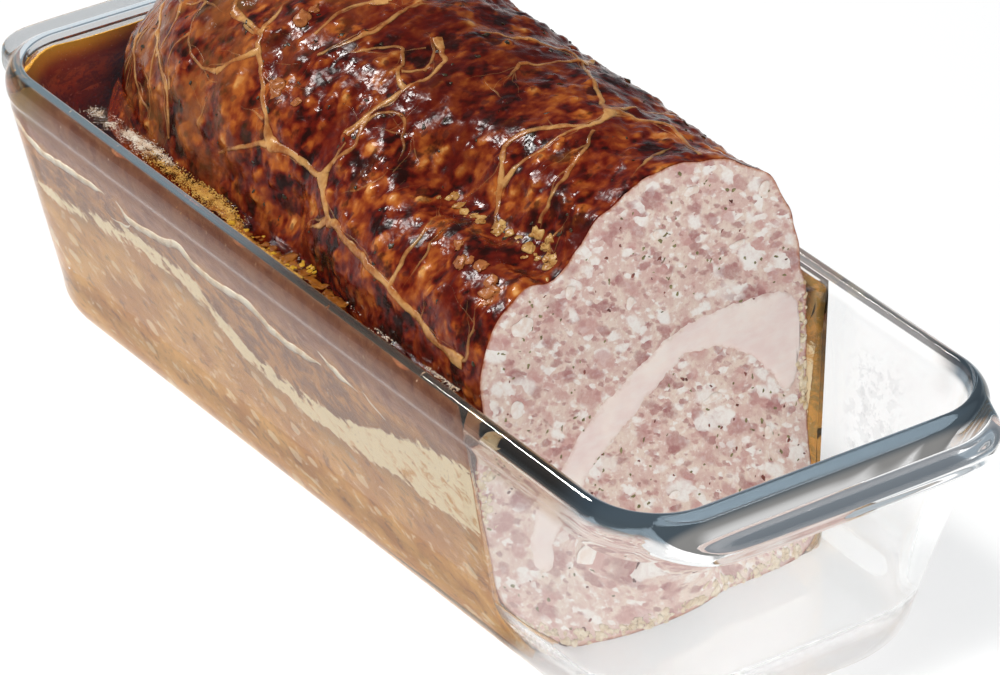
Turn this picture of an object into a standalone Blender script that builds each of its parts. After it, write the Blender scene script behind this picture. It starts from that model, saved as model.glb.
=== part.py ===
"""Rabbit terrine: a browned loaf of coarse forcemeat in its glass loaf dish.

The loaf is wrapped in a lace of caul fat, set in aspic up to just under the rim of the
dish and cut square across one end, so that the cut shows the pale fillet which runs
through the forcemeat. One slice-wide end of the dish is empty.

Sizes are in millimetres and MM turns them into metres where a mesh is made. The origin is
at the middle of the dish's base. +X runs along the dish to its empty end, +Z is up.
"""

import math

import bmesh
import bpy
from mathutils import Vector, noise

MM = 0.001
FIT_GAP = 0.3

# ---- Glass dish ---------------------------------------------------------------------
RIM_HALF_LENGTH = 126.1
RIM_HALF_WIDTH = 50.0
RIM_RADIUS = 16.5
RIM_HEIGHT = 62.7
BEAD_WIDTH = 4.15
BASE_HALF_LENGTH = 125.2
BASE_HALF_WIDTH = 47.1
BASE_RADIUS = 32.2
BASE_FILLET = 8.4
FLOOR_THICKNESS = 5.0
FLOOR_FILLET = 12.0
SPRING_HALF_LENGTH = 121.7
SPRING_HALF_WIDTH = 45.2
SPRING_RADIUS = 26.0
HANDLE_REACH = 9.6
HANDLE_HALF_WIDTH = 47.0
HANDLE_SQUARENESS = 7.0
# Up and over the bead: inset from its outside, height, and how far out and down the handle
# draws that line at the ends.
BEAD_PROFILE = [
    (1.2, 52.0, 0.0, 0.0), (0.9, 54.6, 1.5, 1.0), (0.2, 56.2, HANDLE_REACH - 1.2, 1.4),
    (0.0, 58.4, HANDLE_REACH, 1.6), (0.3, 60.3, HANDLE_REACH - 0.6, 1.2),
    (1.2, 61.9, 1.4, 0.7), (2.4, 62.9, 0.0, 0.0), (3.4, 63.1, 0.0, 0.0),
]
WALL_RING_Z = 40.0
FILLET_STEPS = 4
CORNER_STEPS = 8
END_STEPS = 12
SIDE_STEPS = 6

# ---- Loaf ---------------------------------------------------------------------------
LOAF_FLOOR = FLOOR_THICKNESS + FIT_GAP
LOAF_SPRING_X = -50.0
LOAF_END_LENGTH = 70.5
LOAF_AXIS_Z = 35.0
END_TOP_ROUNDNESS = 2.4
END_FOOT_ROUNDNESS = 4.0
END_WIDTH_ROUNDNESS = 2.2
CUT_X_AT_FLOOR = 72.5
CUT_LEAN = 0.115
CUT_BULGE = 13.0
CUT_BULGE_HEIGHT = 22.0
CUT_BULGE_HALF_WIDTH = 46.0
DOME_POINTS = 46
LOWER_POINTS = 20
STRAIGHT_STATIONS = 34
END_STATIONS = 12
CAP_RINGS = 4

# The loaf's dome as (y, z), from the far jelly line over to the near one: at the cut, where
# the near shoulder lies low beside a crease, and farther back, where it is round.
DOME_AT_CUT = [
    (43.2, 57.0), (43.0, 64.5), (40.8, 75.5), (38.0, 84.5), (32.0, 92.6), (23.5, 98.0),
    (13.0, 100.7), (1.5, 101.4), (-8.0, 98.7), (-15.0, 95.2), (-19.5, 90.0), (-24.0, 87.0),
    (-33.0, 85.6), (-40.2, 81.6), (-44.8, 75.2), (-46.6, 67.0), (-46.4, 57.0),
]
DOME_BEHIND = [
    (43.2, 57.0), (43.0, 64.5), (40.8, 75.5), (38.0, 84.5), (32.0, 92.6), (23.5, 98.0),
    (13.0, 101.0), (1.5, 102.0), (-9.0, 100.6), (-18.0, 97.6), (-25.5, 93.2), (-32.0, 88.0),
    (-36.2, 82.8), (-38.8, 77.0), (-40.4, 70.6), (-41.4, 64.0), (-42.6, 57.0),
]
CREASE_END_X = 34.0
# The sides and the underside, where the loaf lies in the aspic and on the glass floor.
LOWER_OUTLINE = [
    (-46.2, 45.0), (-45.2, 28.0), (-43.9, 15.5), (-40.4, 9.2), (-33.0, 5.9),
    (-24.0, LOAF_FLOOR), (0.0, LOAF_FLOOR), (24.0, LOAF_FLOOR), (32.0, 5.9), (38.0, 9.2),
    (41.0, 17.0), (42.0, 30.0), (42.8, 44.0),
]

# ---- Browned crust ------------------------------------------------------------------
RELIEF_START_Z = 60.0
RELIEF_BLEND = 7.0
LUMP_SIZE = 15.0
LUMP_HEIGHT = 1.5
CRAG_SIZE = 6.0
CRAG_HEIGHT = 0.8
CREASE_Y = -26.0
CREASE_START_X = -14.0
CREASE_WIDTH = 5.0
CREASE_DEPTH = 1.7
FOLD_X = -6.0
FOLD_NEAR_Y = -30.0
FOLD_FAR_Y = 12.0
FOLD_WIDTH = 5.5
FOLD_DEPTH = 1.8

# ---- Caul fat -----------------------------------------------------------------------
STRAND_AXIS_Z = 50.0
STRAND_STEP = 5.0
STRAND_SINK = 0.25
# Strands of the lace: half-thickness, then the route over the dome as (x, turn), where turn
# is in degrees round the loaf from straight up, towards the near side.
STRANDS = [
    (1.0, [(-64, 29), (-51, 30), (-48, 34), (-35, 45), (-30, 52)]),
    (0.7, [(-55, 16), (-51, 30)]),
    (0.7, [(-48, 34), (-56, 45)]),
    (0.8, [(-30, 52), (-46, 64)]),
    (1.2, [(-30, 52), (-20, 51), (-10, 51), (-8, 40)]),
    (1.4, [(-10, 51), (-1, 60), (2, 59), (10, 61), (18, 62), (29, 64), (37, 66), (45, 68),
           (58, 69)]),
    (0.9, [(-1, 60), (-9, 67)]),
    (0.7, [(29, 64), (29, 51), (26, 40)]),
    (0.8, [(-39, 22), (-40, 9), (-36, 1)]),
    (0.9, [(-33, 26), (-29, 15), (-29, 7), (-31, -7)]),
    (1.0, [(-9, 38), (-8, 25), (-6, 19), (-6, 12), (-9, 5), (-16, 1)]),
    (0.7, [(-29, 23), (-21, 11), (-17, 11), (-11, 18), (-6, 19)]),
    (0.7, [(-9, 38), (-6, 29), (0, 26), (7, 36)]),
    (0.9, [(-12, -9), (-6, -20), (1, -26), (7, -25), (19, -18), (33, -12)]),
    (0.6, [(7, -25), (4, -8)]),
    (1.1, [(33, -12), (36, -4), (31, 3), (26, 13), (29, 19), (39, 35)]),
    (0.7, [(36, -4), (34, 11), (32, 23)]),
    (0.9, [(39, -2), (42, 3), (45, 11), (49, 27)]),
    (1.0, [(33, -12), (42, -22), (58, -19)]),
    (0.7, [(51, -18), (53, -10), (58, 3)]),
    (1.0, [(-104, 26), (-83, 49), (-71, 58), (-65, 72)]),
    (0.9, [(-96, 50), (-91, 60), (-82, 70)]),
    (1.0, [(-20, -40), (-6, -46), (7, -25)]),
    (0.9, [(-6, -46), (6, -58), (18, -66), (40, -68)]),
    (0.8, [(33, -12), (30, -34), (18, -66)]),
    (0.9, [(-20, -40), (-44, -36), (-62, -46), (-84, -52)]),
    (0.8, [(-44, -36), (-52, -60), (-66, -70)]),
    (0.8, [(-36, 1), (-52, -8), (-44, -36)]),
]

# ---- Fillet -------------------------------------------------------------------------
FILLET_END_X = -88.0
FILLET_STATIONS = 8
# The pale strip of fillet at the cut as (y, z), round from its lower near tip.
FILLET_OUTLINE = [
    (-35.0, 23.0), (-31.5, 33.5), (-22.2, 44.9), (-9.4, 54.4), (7.7, 62.8), (23.1, 63.8),
    (33.0, 63.6), (39.0, 60.5), (40.0, 50.0), (37.5, 38.0), (33.0, 43.5), (25.6, 51.5),
    (10.2, 55.8), (-4.2, 46.6), (-18.5, 36.3), (-26.5, 26.8), (-31.0, 20.5),
]
FILLET_POINTS = 34

# ---- Aspic --------------------------------------------------------------------------
JELLY_LEVEL = 60.2
JELLY_FOOT = 17.5
JELLY_TO_LOAF = 0.8
JELLY_WALL_ROWS = 8
JELLY_SIDE_STEPS = 8
JELLY_END_STEPS = 26


def clear_scene():
    for old in list(bpy.data.objects):
        bpy.data.objects.remove(old, do_unlink=True)


def make_material(name, colour, roughness, transmission=0.0, ior=1.45):
    material = bpy.data.materials.new(name)
    material.use_nodes = True
    shader = material.node_tree.nodes["Principled BSDF"]
    shader.inputs["Base Color"].default_value = (*colour, 1.0)
    shader.inputs["Roughness"].default_value = roughness
    shader.inputs["Metallic"].default_value = 0.0
    shader.inputs["Transmission Weight"].default_value = transmission
    shader.inputs["IOR"].default_value = ior
    material.diffuse_color = (*colour, 1.0)
    return material


def smoothstep(low, high, value):
    share = min(1.0, max(0.0, (value - low) / (high - low)))
    return share * share * (3.0 - 2.0 * share)


def mix(first, second, share):
    return first + (second - first) * share


def spline_points(outline, count, cyclic):
    """Evenly spaced points on a Catmull-Rom curve through the outline's points."""
    last = len(outline) if cyclic else len(outline) - 1
    dense = []
    for index in range(last):
        if cyclic:
            corners = [Vector(outline[(index + k) % len(outline)]) for k in (-1, 0, 1, 2)]
        else:
            picks = [min(max(index + k, 0), len(outline) - 1) for k in (-1, 0, 1, 2)]
            corners = [Vector(outline[pick]) for pick in picks]
        before, start, end, after = corners
        for step in range(12):
            t = step / 12.0
            dense.append(0.5 * (2.0 * start + (end - before) * t
                                + (2.0 * before - 5.0 * start + 4.0 * end - after) * t ** 2
                                + (3.0 * start - before - 3.0 * end + after) * t ** 3))
    dense.append(Vector(outline[0] if cyclic else outline[-1]))
    reach = [0.0]
    for first, second in zip(dense, dense[1:]):
        reach.append(reach[-1] + (second - first).length)
    spaces = count if cyclic else count - 1
    points = []
    segment = 0
    for index in range(count):
        target = reach[-1] * index / spaces
        while segment < len(reach) - 2 and reach[segment + 1] < target:
            segment += 1
        length = reach[segment + 1] - reach[segment]
        share = (target - reach[segment]) / length if length > 0.0 else 0.0
        points.append(dense[segment].lerp(dense[segment + 1], share))
    return points


def rounded_rectangle(half_length, half_width, radius):
    """Counter-clockwise plan points, with the same count for every size."""
    straight_x = half_length - radius
    straight_y = half_width - radius
    points = []

    def add_line(start, end, steps):
        for step in range(steps):
            points.append(Vector(start).lerp(Vector(end), step / steps))

    def add_corner(centre_x, centre_y, first_angle):
        for step in range(CORNER_STEPS):
            angle = first_angle + 0.5 * math.pi * step / CORNER_STEPS
            points.append(Vector((centre_x + radius * math.cos(angle),
                                  centre_y + radius * math.sin(angle))))

    add_line((half_length, -straight_y), (half_length, straight_y), END_STEPS)
    add_corner(straight_x, straight_y, 0.0)
    add_line((straight_x, half_width), (-straight_x, half_width), SIDE_STEPS)
    add_corner(-straight_x, straight_y, 0.5 * math.pi)
    add_line((-half_length, straight_y), (-half_length, -straight_y), END_STEPS)
    add_corner(-straight_x, -straight_y, math.pi)
    add_line((-straight_x, -half_width), (straight_x, -half_width), SIDE_STEPS)
    add_corner(straight_x, -straight_y, 1.5 * math.pi)
    return points


def make_object(name, mesh_builder, material, collection):
    mesh = bpy.data.meshes.new(name)
    mesh_builder.normal_update()
    mesh_builder.to_mesh(mesh)
    mesh_builder.free()
    mesh.materials.append(material)
    mesh.shade_smooth()
    mesh.set_sharp_from_angle(angle=math.radians(40.0))
    made = bpy.data.objects.new(name, mesh)
    collection.objects.link(made)
    return made


def loft(rings, start_point=None, end_point=None):
    """One closed skin over rings of equal count, each end a pole or a flat face."""
    builder = bmesh.new()
    rows = [[builder.verts.new(Vector(point) * MM) for point in ring] for ring in rings]
    count = len(rings[0])
    for lower, upper in zip(rows, rows[1:]):
        for index in range(count):
            following = (index + 1) % count
            builder.faces.new((lower[index], lower[following],
                               upper[following], upper[index]))
    if start_point is None:
        builder.faces.new(tuple(reversed(rows[0])))
    else:
        pole = builder.verts.new(Vector(start_point) * MM)
        for index in range(count):
            builder.faces.new((pole, rows[0][(index + 1) % count], rows[0][index]))
    if end_point is None:
        builder.faces.new(tuple(rows[-1]))
    else:
        pole = builder.verts.new(Vector(end_point) * MM)
        for index in range(count):
            builder.faces.new((rows[-1][index], rows[-1][(index + 1) % count], pole))
    return builder


# ---- Glass dish ---------------------------------------------------------------------

def handle_share(y):
    """How far out the handle stands at this y, from 1 in the middle to 0 at its ends."""
    across = min(1.0, abs(y) / HANDLE_HALF_WIDTH)
    return math.sqrt(1.0 - across ** HANDLE_SQUARENESS)


def inner_wall_size(z):
    """Half-length, half-width and corner radius of the hollow at a height."""
    spring_z = FLOOR_THICKNESS + FLOOR_FILLET
    share = min(1.0, max(0.0, (z - spring_z) / (RIM_HEIGHT - spring_z)))
    length = mix(SPRING_HALF_LENGTH, RIM_HALF_LENGTH, share)
    width = mix(SPRING_HALF_WIDTH, RIM_HALF_WIDTH, share)
    radius = mix(SPRING_RADIUS, RIM_RADIUS, share)
    drop = spring_z - z
    if drop > 0.0:
        inset = FLOOR_FILLET - math.sqrt(max(0.0, FLOOR_FILLET ** 2 - drop ** 2))
        length -= inset
        width -= inset
        radius -= inset
    return length, width, radius


def dish_ring(half_length, half_width, radius, z, reach=0.0, fall=0.0):
    """A level ring of the dish, drawn out and down at both ends where the handles are."""
    ring = []
    for point in rounded_rectangle(half_length, half_width, radius):
        share = handle_share(point.y) if abs(point.x) > half_length - radius - 1.0 else 0.0
        ring.append((point.x + math.copysign(reach * share, point.x), point.y,
                     z - fall * share))
    return ring


def outside_rings():
    """The base's flat face, its rounded edge and the wall up to the bead."""
    rings = []
    for step in range(FILLET_STEPS):
        angle = 0.5 * math.pi * step / (FILLET_STEPS - 1)
        inset = BASE_FILLET * (1.0 - math.sin(angle))
        rings.append(dish_ring(BASE_HALF_LENGTH - inset, BASE_HALF_WIDTH - inset,
                               BASE_RADIUS - inset, BASE_FILLET * (1.0 - math.cos(angle))))
    wall_inset, wall_top = BEAD_PROFILE[0][:2]
    share = (WALL_RING_Z - BASE_FILLET) / (wall_top - BASE_FILLET)
    bead = BEAD_WIDTH - wall_inset
    rings.append(dish_ring(mix(BASE_HALF_LENGTH, RIM_HALF_LENGTH + bead, share),
                           mix(BASE_HALF_WIDTH, RIM_HALF_WIDTH + bead, share),
                           mix(BASE_RADIUS, RIM_RADIUS + bead, share), WALL_RING_Z))
    return rings


def bead_rings():
    rings = []
    for inset, z, reach, fall in BEAD_PROFILE:
        bead = BEAD_WIDTH - inset
        rings.append(dish_ring(RIM_HALF_LENGTH + bead, RIM_HALF_WIDTH + bead,
                               RIM_RADIUS + bead, z, reach, fall))
    return rings


def inside_rings():
    """Down the hollow's wall and round its foot to the floor."""
    heights = [RIM_HEIGHT, WALL_RING_Z]
    for step in range(FILLET_STEPS + 1):
        angle = 0.5 * math.pi * step / FILLET_STEPS
        heights.append(FLOOR_THICKNESS + FLOOR_FILLET * (1.0 - math.sin(angle)))
    return [dish_ring(*inner_wall_size(z), z) for z in heights]


def make_dish(collection):
    glass = make_material("clear_glass", (0.93, 0.96, 0.96), 0.03, 1.0, 1.47)
    rings = outside_rings() + bead_rings() + inside_rings()
    return make_object("dish", loft(rings), glass, collection)


# ---- Loaf ---------------------------------------------------------------------------

def cut_x(y, z):
    """The cut leans a little away from the empty end and bellies out at its foot."""
    belly = CUT_BULGE * math.exp(-(z / CUT_BULGE_HEIGHT) ** 2)
    belly *= max(0.0, 1.0 - (y / CUT_BULGE_HALF_WIDTH) ** 6)
    return CUT_X_AT_FLOOR - CUT_LEAN * z + belly


def closed_section(dome_outline):
    """(y, z) round the loaf, counter-clockwise from +X: the dome, then the lower part."""
    lower_outline = [dome_outline[-1]] + LOWER_OUTLINE + [dome_outline[0]]
    dome = spline_points(dome_outline, DOME_POINTS, cyclic=False)
    lower = spline_points(lower_outline, LOWER_POINTS + 2, cyclic=False)
    return dome + lower[1:-1]


SECTION_AT_CUT = closed_section(DOME_AT_CUT)
SECTION_BEHIND = closed_section(DOME_BEHIND)


def full_section(x):
    """The loaf's section at x before its far end rounds it off."""
    share = smoothstep(CREASE_START_X, CREASE_END_X, x)
    return [back.lerp(front, share) for back, front in zip(SECTION_BEHIND, SECTION_AT_CUT)]


def end_share(x, roundness):
    """Share of a size that is left at x in the loaf's rounded far end."""
    reach = min(1.0, max(0.0, (LOAF_SPRING_X - x) / LOAF_END_LENGTH))
    return (1.0 - reach ** roundness) ** (1.0 / roundness)


def end_height_share(x, z):
    return end_share(x, END_TOP_ROUNDNESS if z > LOAF_AXIS_Z else END_FOOT_ROUNDNESS)


def rounded_off(x, section):
    """A section's points drawn in towards the loaf's axis where its far end rounds off."""
    width = end_share(x, END_WIDTH_ROUNDNESS)
    ring = []
    for y, z in section:
        rise = (z - LOAF_AXIS_Z) * end_height_share(x, z)
        ring.append((x, y * width, LOAF_AXIS_Z + rise))
    return ring


def loaf_rows():
    """Rings from the far end to the cut. The last ones lie along the leaning cut."""
    rows = []
    for step in range(1, END_STATIONS + 1):
        angle = 0.5 * math.pi * (1.0 - step / (END_STATIONS + 1.0))
        x = LOAF_SPRING_X - LOAF_END_LENGTH * math.sin(angle)
        rows.append(rounded_off(x, full_section(x)))
    for step in range(STRAIGHT_STATIONS + 1):
        share = step / STRAIGHT_STATIONS
        section = full_section(mix(LOAF_SPRING_X, CUT_X_AT_FLOOR, share))
        rows.append([(mix(LOAF_SPRING_X, cut_x(y, z), share), y, z) for y, z in section])
    return rows


def crust_relief(place):
    """Height of the crust above its plain form: lumps, crags, one crease and one fold."""
    lumps = noise.noise(place / LUMP_SIZE) * LUMP_HEIGHT
    crags = noise.noise(place / CRAG_SIZE + Vector((31.0, 7.0, 5.0))) * CRAG_HEIGHT
    along = smoothstep(CREASE_START_X, CREASE_END_X, place.x)
    wander = 3.0 * noise.noise(Vector((place.x / 20.0, 4.0, 2.0)))
    crease = math.exp(-((place.y - CREASE_Y - wander) / CREASE_WIDTH) ** 2)
    bend = FOLD_X + 0.25 * place.y + 4.0 * noise.noise(Vector((9.0, place.y / 25.0, 3.0)))
    fold = math.exp(-((place.x - bend) / FOLD_WIDTH) ** 2)
    fold *= 1.0 - smoothstep(FOLD_NEAR_Y, FOLD_FAR_Y, place.y)
    height = lumps + crags - CREASE_DEPTH * crease * along - FOLD_DEPTH * fold
    return height * smoothstep(RELIEF_START_Z, RELIEF_START_Z + RELIEF_BLEND, place.z)


def add_relief(rows):
    """Move every crust point along its own normal, and the cut's edge within the cut."""
    count = len(rows[0])
    places = [[Vector(point) for point in row] for row in rows]
    raised = []
    for index, row in enumerate(places):
        before = places[max(index - 1, 0)]
        after = places[min(index + 1, len(places) - 1)]
        ring = []
        for spot, place in enumerate(row):
            around = row[(spot + 1) % count] - row[spot - 1]
            normal = around.cross(after[spot] - before[spot])
            if index == len(places) - 1:
                normal.x = 0.0
            ring.append(place + normal.normalized() * crust_relief(place))
        raised.append(ring)
    return raised


def cap_rings(edge):
    """Rings that shrink over the cut face from its edge, each on the cut itself."""
    centre_z = sum(point.z for point in edge) / len(edge)
    centre = Vector((0.0, 0.0, centre_z))
    rings = []
    for step in range(1, CAP_RINGS):
        keep = 1.0 - step / CAP_RINGS
        ring = []
        for point in edge:
            y = centre.y + (point.y - centre.y) * keep
            z = centre.z + (point.z - centre.z) * keep
            ring.append(Vector((cut_x(y, z), y, z)))
        rings.append(ring)
    pole = Vector((cut_x(centre.y, centre.z), centre.y, centre.z))
    return rings, pole


def loaf_holds(place):
    """Whether a place is inside the loaf's plain form."""
    width = end_share(place.x, END_WIDTH_ROUNDNESS)
    height = end_height_share(place.x, place.z)
    if min(height, width) < 0.001:
        return False
    y = place.y / width
    z = LOAF_AXIS_Z + (place.z - LOAF_AXIS_Z) / height
    inside = False
    section = full_section(place.x)
    previous = section[-1]
    for point in section:
        if (point.y > z) != (previous.y > z):
            share = (z - point.y) / (previous.y - point.y)
            if y < point.x + share * (previous.x - point.x):
                inside = not inside
        previous = point
    return inside


def farthest(origin, heading, inside):
    """The distance along a heading at which a test of places stops being true."""
    low, high = 0.0, 150.0
    for _ in range(20):
        middle = 0.5 * (low + high)
        if inside(origin + heading * middle):
            low = middle
        else:
            high = middle
    return low


def crust_point(x, turn, lift):
    """A place on the browned dome, raised by lift."""
    axis = Vector((x, 0.0, STRAND_AXIS_Z))
    heading = Vector((0.0, -math.sin(math.radians(turn)), math.cos(math.radians(turn))))
    place = axis + heading * farthest(axis, heading, loaf_holds)
    return place + heading * (crust_relief(place) + lift)


def make_strand(half_thickness, route, material, collection):
    """One strand of caul fat: a tube of four sides that lies half sunk in the crust."""
    length = sum(math.dist(first, second) for first, second in zip(route, route[1:]))
    places = spline_points(route, max(3, round(length / STRAND_STEP)), cyclic=False)
    curve = bpy.data.curves.new("strand", "CURVE")
    curve.dimensions = "3D"
    curve.bevel_depth = half_thickness * MM
    curve.bevel_resolution = 0
    curve.use_fill_caps = True
    spline = curve.splines.new("POLY")
    spline.points.add(len(places) - 1)
    for point, place in zip(spline.points, places):
        surface = crust_point(place.x, place.y, -STRAND_SINK * half_thickness)
        point.co = (*(surface * MM), 1.0)
    outline = bpy.data.objects.new("strand_curve", curve)
    collection.objects.link(outline)
    depsgraph = bpy.context.evaluated_depsgraph_get()
    mesh = bpy.data.meshes.new_from_object(outline.evaluated_get(depsgraph))
    builder = bmesh.new()
    builder.from_mesh(mesh)
    bpy.data.meshes.remove(mesh)
    bmesh.ops.remove_doubles(builder, verts=builder.verts, dist=0.00001)
    bpy.data.objects.remove(outline, do_unlink=True)
    return make_object("strand", builder, material, collection)


def fuse_caul(loaf, cutters):
    """Join the lace of caul fat to the crust."""
    lace = bpy.data.collections.new("caul")
    cutters.children.link(lace)
    for half_thickness, route in STRANDS:
        make_strand(half_thickness, route, loaf.data.materials[0], lace)
    join = loaf.modifiers.new("caul", "BOOLEAN")
    join.operation = "UNION"
    join.solver = "EXACT"
    join.operand_type = "COLLECTION"
    join.collection = lace
    depsgraph = bpy.context.evaluated_depsgraph_get()
    fused = bpy.data.meshes.new_from_object(loaf.evaluated_get(depsgraph))
    loaf.modifiers.clear()
    loaf.data = fused
    for strand in list(lace.objects):
        bpy.data.objects.remove(strand, do_unlink=True)
    bpy.data.collections.remove(lace)


def make_loaf(collection):
    crust = make_material("browned_crust", (0.30, 0.09, 0.03), 0.3)
    rows = add_relief(loaf_rows())
    rings, pole = cap_rings(rows[-1])
    far_end = (LOAF_SPRING_X - LOAF_END_LENGTH, 0.0, LOAF_AXIS_Z)
    return make_object("loaf", loft(rows + rings, far_end, pole), crust, collection)


# ---- Fillet -------------------------------------------------------------------------

def outline_normals(points):
    """Outward normals of a closed clockwise outline."""
    normals = []
    for index, point in enumerate(points):
        along = points[(index + 1) % len(points)] - points[index - 1]
        normals.append(Vector((-along.y, along.x)).normalized())
    return normals


def fillet_outline(grow):
    points = spline_points(FILLET_OUTLINE, FILLET_POINTS, cyclic=True)
    normals = outline_normals(points)
    grown = [point + normal * grow for point, normal in zip(points, normals)]
    return list(reversed(grown))


def fillet_rings(outline, start_x, past_cut):
    """Rings along the fillet, which narrows with the loaf's rounded end."""
    rings = []
    for step in range(FILLET_STATIONS + 1):
        share = (step / FILLET_STATIONS) ** 1.5
        ring = []
        for point in outline:
            x = mix(start_x, cut_x(point.x, point.y) + past_cut, share)
            ring += rounded_off(x, [point])
        rings.append(ring)
    return rings


def make_fillet(collection):
    meat = make_material("pale_fillet", (0.80, 0.66, 0.61), 0.45)
    rings = fillet_rings(fillet_outline(0.0), FILLET_END_X, 0.0)
    return make_object("fillet", loft(rings), meat, collection)


def cut_fillet_channel(loaf, cutters):
    material = loaf.data.materials[0]
    rings = fillet_rings(fillet_outline(FIT_GAP), FILLET_END_X - FIT_GAP, 5.0)
    cutter = make_object("fillet_channel", loft(rings), material, cutters)
    cutter.display_type = "WIRE"
    cutter.hide_render = True
    cut = loaf.modifiers.new("fillet_channel", "BOOLEAN")
    cut.operation = "DIFFERENCE"
    cut.solver = "EXACT"
    cut.object = cutter


# ---- Aspic --------------------------------------------------------------------------

def hollow_holds(place):
    """Whether a place is inside the dish's hollow, at the place's own height."""
    half_length, half_width, radius = inner_wall_size(place.z)
    x = abs(place.x)
    y = abs(place.y)
    past = Vector((max(0.0, x - half_length + radius), max(0.0, y - half_width + radius)))
    return past.length <= radius and x <= half_length and y <= half_width


def jelly_section(x, heading, at_cut):
    """Closed ring through the aspic: up along the glass, across and down the loaf."""
    ring = []
    heights = [mix(JELLY_FOOT, JELLY_LEVEL, row / JELLY_WALL_ROWS)
               for row in range(JELLY_WALL_ROWS + 1)]

    def add(z, inside, clearance):
        origin = Vector((x, 0.0, z))
        place = origin + heading * (farthest(origin, heading, inside) + clearance)
        if at_cut:
            place.x = cut_x(place.y, z)
        ring.append(place)

    for z in heights:
        add(z, hollow_holds, -FIT_GAP)
    for z in reversed(heights):
        add(z, loaf_holds, JELLY_TO_LOAF)
    return ring


def jelly_rings():
    """Sections from the cut along the near side, round the far end and back."""
    near = Vector((0.0, -1.0, 0.0))
    cut = CUT_X_AT_FLOOR - CUT_LEAN * JELLY_LEVEL
    rings = []
    for step in range(JELLY_SIDE_STEPS):
        x = mix(cut, LOAF_SPRING_X, step / JELLY_SIDE_STEPS)
        rings.append(jelly_section(x, near, step == 0))
    for step in range(JELLY_END_STEPS + 1):
        angle = -0.5 * math.pi - math.pi * step / JELLY_END_STEPS
        heading = Vector((math.cos(angle), math.sin(angle), 0.0))
        rings.append(jelly_section(LOAF_SPRING_X, heading, False))
    for step in range(1, JELLY_SIDE_STEPS + 1):
        x = mix(LOAF_SPRING_X, cut, step / JELLY_SIDE_STEPS)
        rings.append(jelly_section(x, -near, step == JELLY_SIDE_STEPS))
    return rings


def make_jelly(collection):
    aspic = make_material("aspic", (0.42, 0.17, 0.03), 0.08, 0.6, 1.36)
    return make_object("jelly", loft(jelly_rings()), aspic, collection)


def main():
    clear_scene()
    parts = bpy.data.collections.new("rabbit_terrine")
    cutters = bpy.data.collections.new("cutters")
    bpy.context.scene.collection.children.link(parts)
    bpy.context.scene.collection.children.link(cutters)
    make_dish(parts)
    loaf = make_loaf(parts)
    fuse_caul(loaf, cutters)
    make_fillet(parts)
    cut_fillet_channel(loaf, cutters)
    make_jelly(parts)


main()
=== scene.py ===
"""Rabbit terrine set in aspic in its glass loaf dish: every surface as it looks.

Places and lengths inside the script are in millimetres; MM turns them into metres where a
mesh is made. Sizes in the panels are in metres, as Blender shows them.
"""

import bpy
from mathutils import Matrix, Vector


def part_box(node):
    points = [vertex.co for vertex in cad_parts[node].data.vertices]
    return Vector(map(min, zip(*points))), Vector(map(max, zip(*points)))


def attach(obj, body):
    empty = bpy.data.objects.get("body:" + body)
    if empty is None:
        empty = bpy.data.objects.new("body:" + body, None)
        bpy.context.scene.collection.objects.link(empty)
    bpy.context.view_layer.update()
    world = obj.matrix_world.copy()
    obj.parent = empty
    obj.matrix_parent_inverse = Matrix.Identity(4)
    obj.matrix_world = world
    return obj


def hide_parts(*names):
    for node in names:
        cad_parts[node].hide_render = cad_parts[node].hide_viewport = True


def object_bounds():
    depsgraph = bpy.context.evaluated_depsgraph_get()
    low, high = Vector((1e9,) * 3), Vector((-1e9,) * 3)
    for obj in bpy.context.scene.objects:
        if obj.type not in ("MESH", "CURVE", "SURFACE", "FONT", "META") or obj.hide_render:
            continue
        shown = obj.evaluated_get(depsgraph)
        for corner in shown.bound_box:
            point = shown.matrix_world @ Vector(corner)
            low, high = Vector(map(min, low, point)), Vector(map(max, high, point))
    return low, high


bl_info = {
    "name": "Rabbit Terrine",
    "version": (1, 0, 0),
    "blender": (4, 5, 0),
    "location": "View3D > Sidebar > Terrine",
    "description": "Builds a caul-wrapped terrine set in aspic in a glass loaf dish",
    "category": "Add Mesh",
}

import math
import random

import bmesh
import bpy
import numpy
from bpy.props import FloatProperty, FloatVectorProperty, IntProperty, PointerProperty
from mathutils import Matrix, Vector, noise
from mathutils.bvhtree import BVHTree

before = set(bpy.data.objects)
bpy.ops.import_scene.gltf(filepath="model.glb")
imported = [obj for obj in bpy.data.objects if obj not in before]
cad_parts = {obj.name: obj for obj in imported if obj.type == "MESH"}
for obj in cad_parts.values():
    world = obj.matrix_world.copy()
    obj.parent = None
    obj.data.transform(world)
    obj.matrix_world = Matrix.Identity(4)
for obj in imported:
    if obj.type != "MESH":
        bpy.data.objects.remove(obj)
CAD_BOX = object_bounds()
MM = 0.001
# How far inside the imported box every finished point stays, in metres.
BOX_MARGIN = numpy.array((1e-5, 1e-5, 0.0), dtype=numpy.float32)


def box_mm(node):
    """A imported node's lowest and highest corners in millimetres."""
    low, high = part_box(node)
    return Vector(low) / MM, Vector(high) / MM


DISH_HIGH = box_mm("dish")[1]
LOAF_LOW = box_mm("loaf")[0]
JELLY_HIGH = box_mm("jelly")[1]


# ---- Values for the panels ----

def shade(red, green, blue):
    """Linear colour from the 0 to 255 values of a screen colour."""
    def linear(value):
        level = value / 255.0
        return level / 12.92 if level <= 0.04045 else ((level + 0.055) / 1.055) ** 2.4
    return linear(red), linear(green), linear(blue)


def amount(name, description, default, **kind):
    return FloatProperty(name=name, description=description, default=default, **kind)


def length(name, description, millimetres):
    return amount(name, description, millimetres * MM, min=0.0, unit="LENGTH",
                  precision=5)


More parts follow.
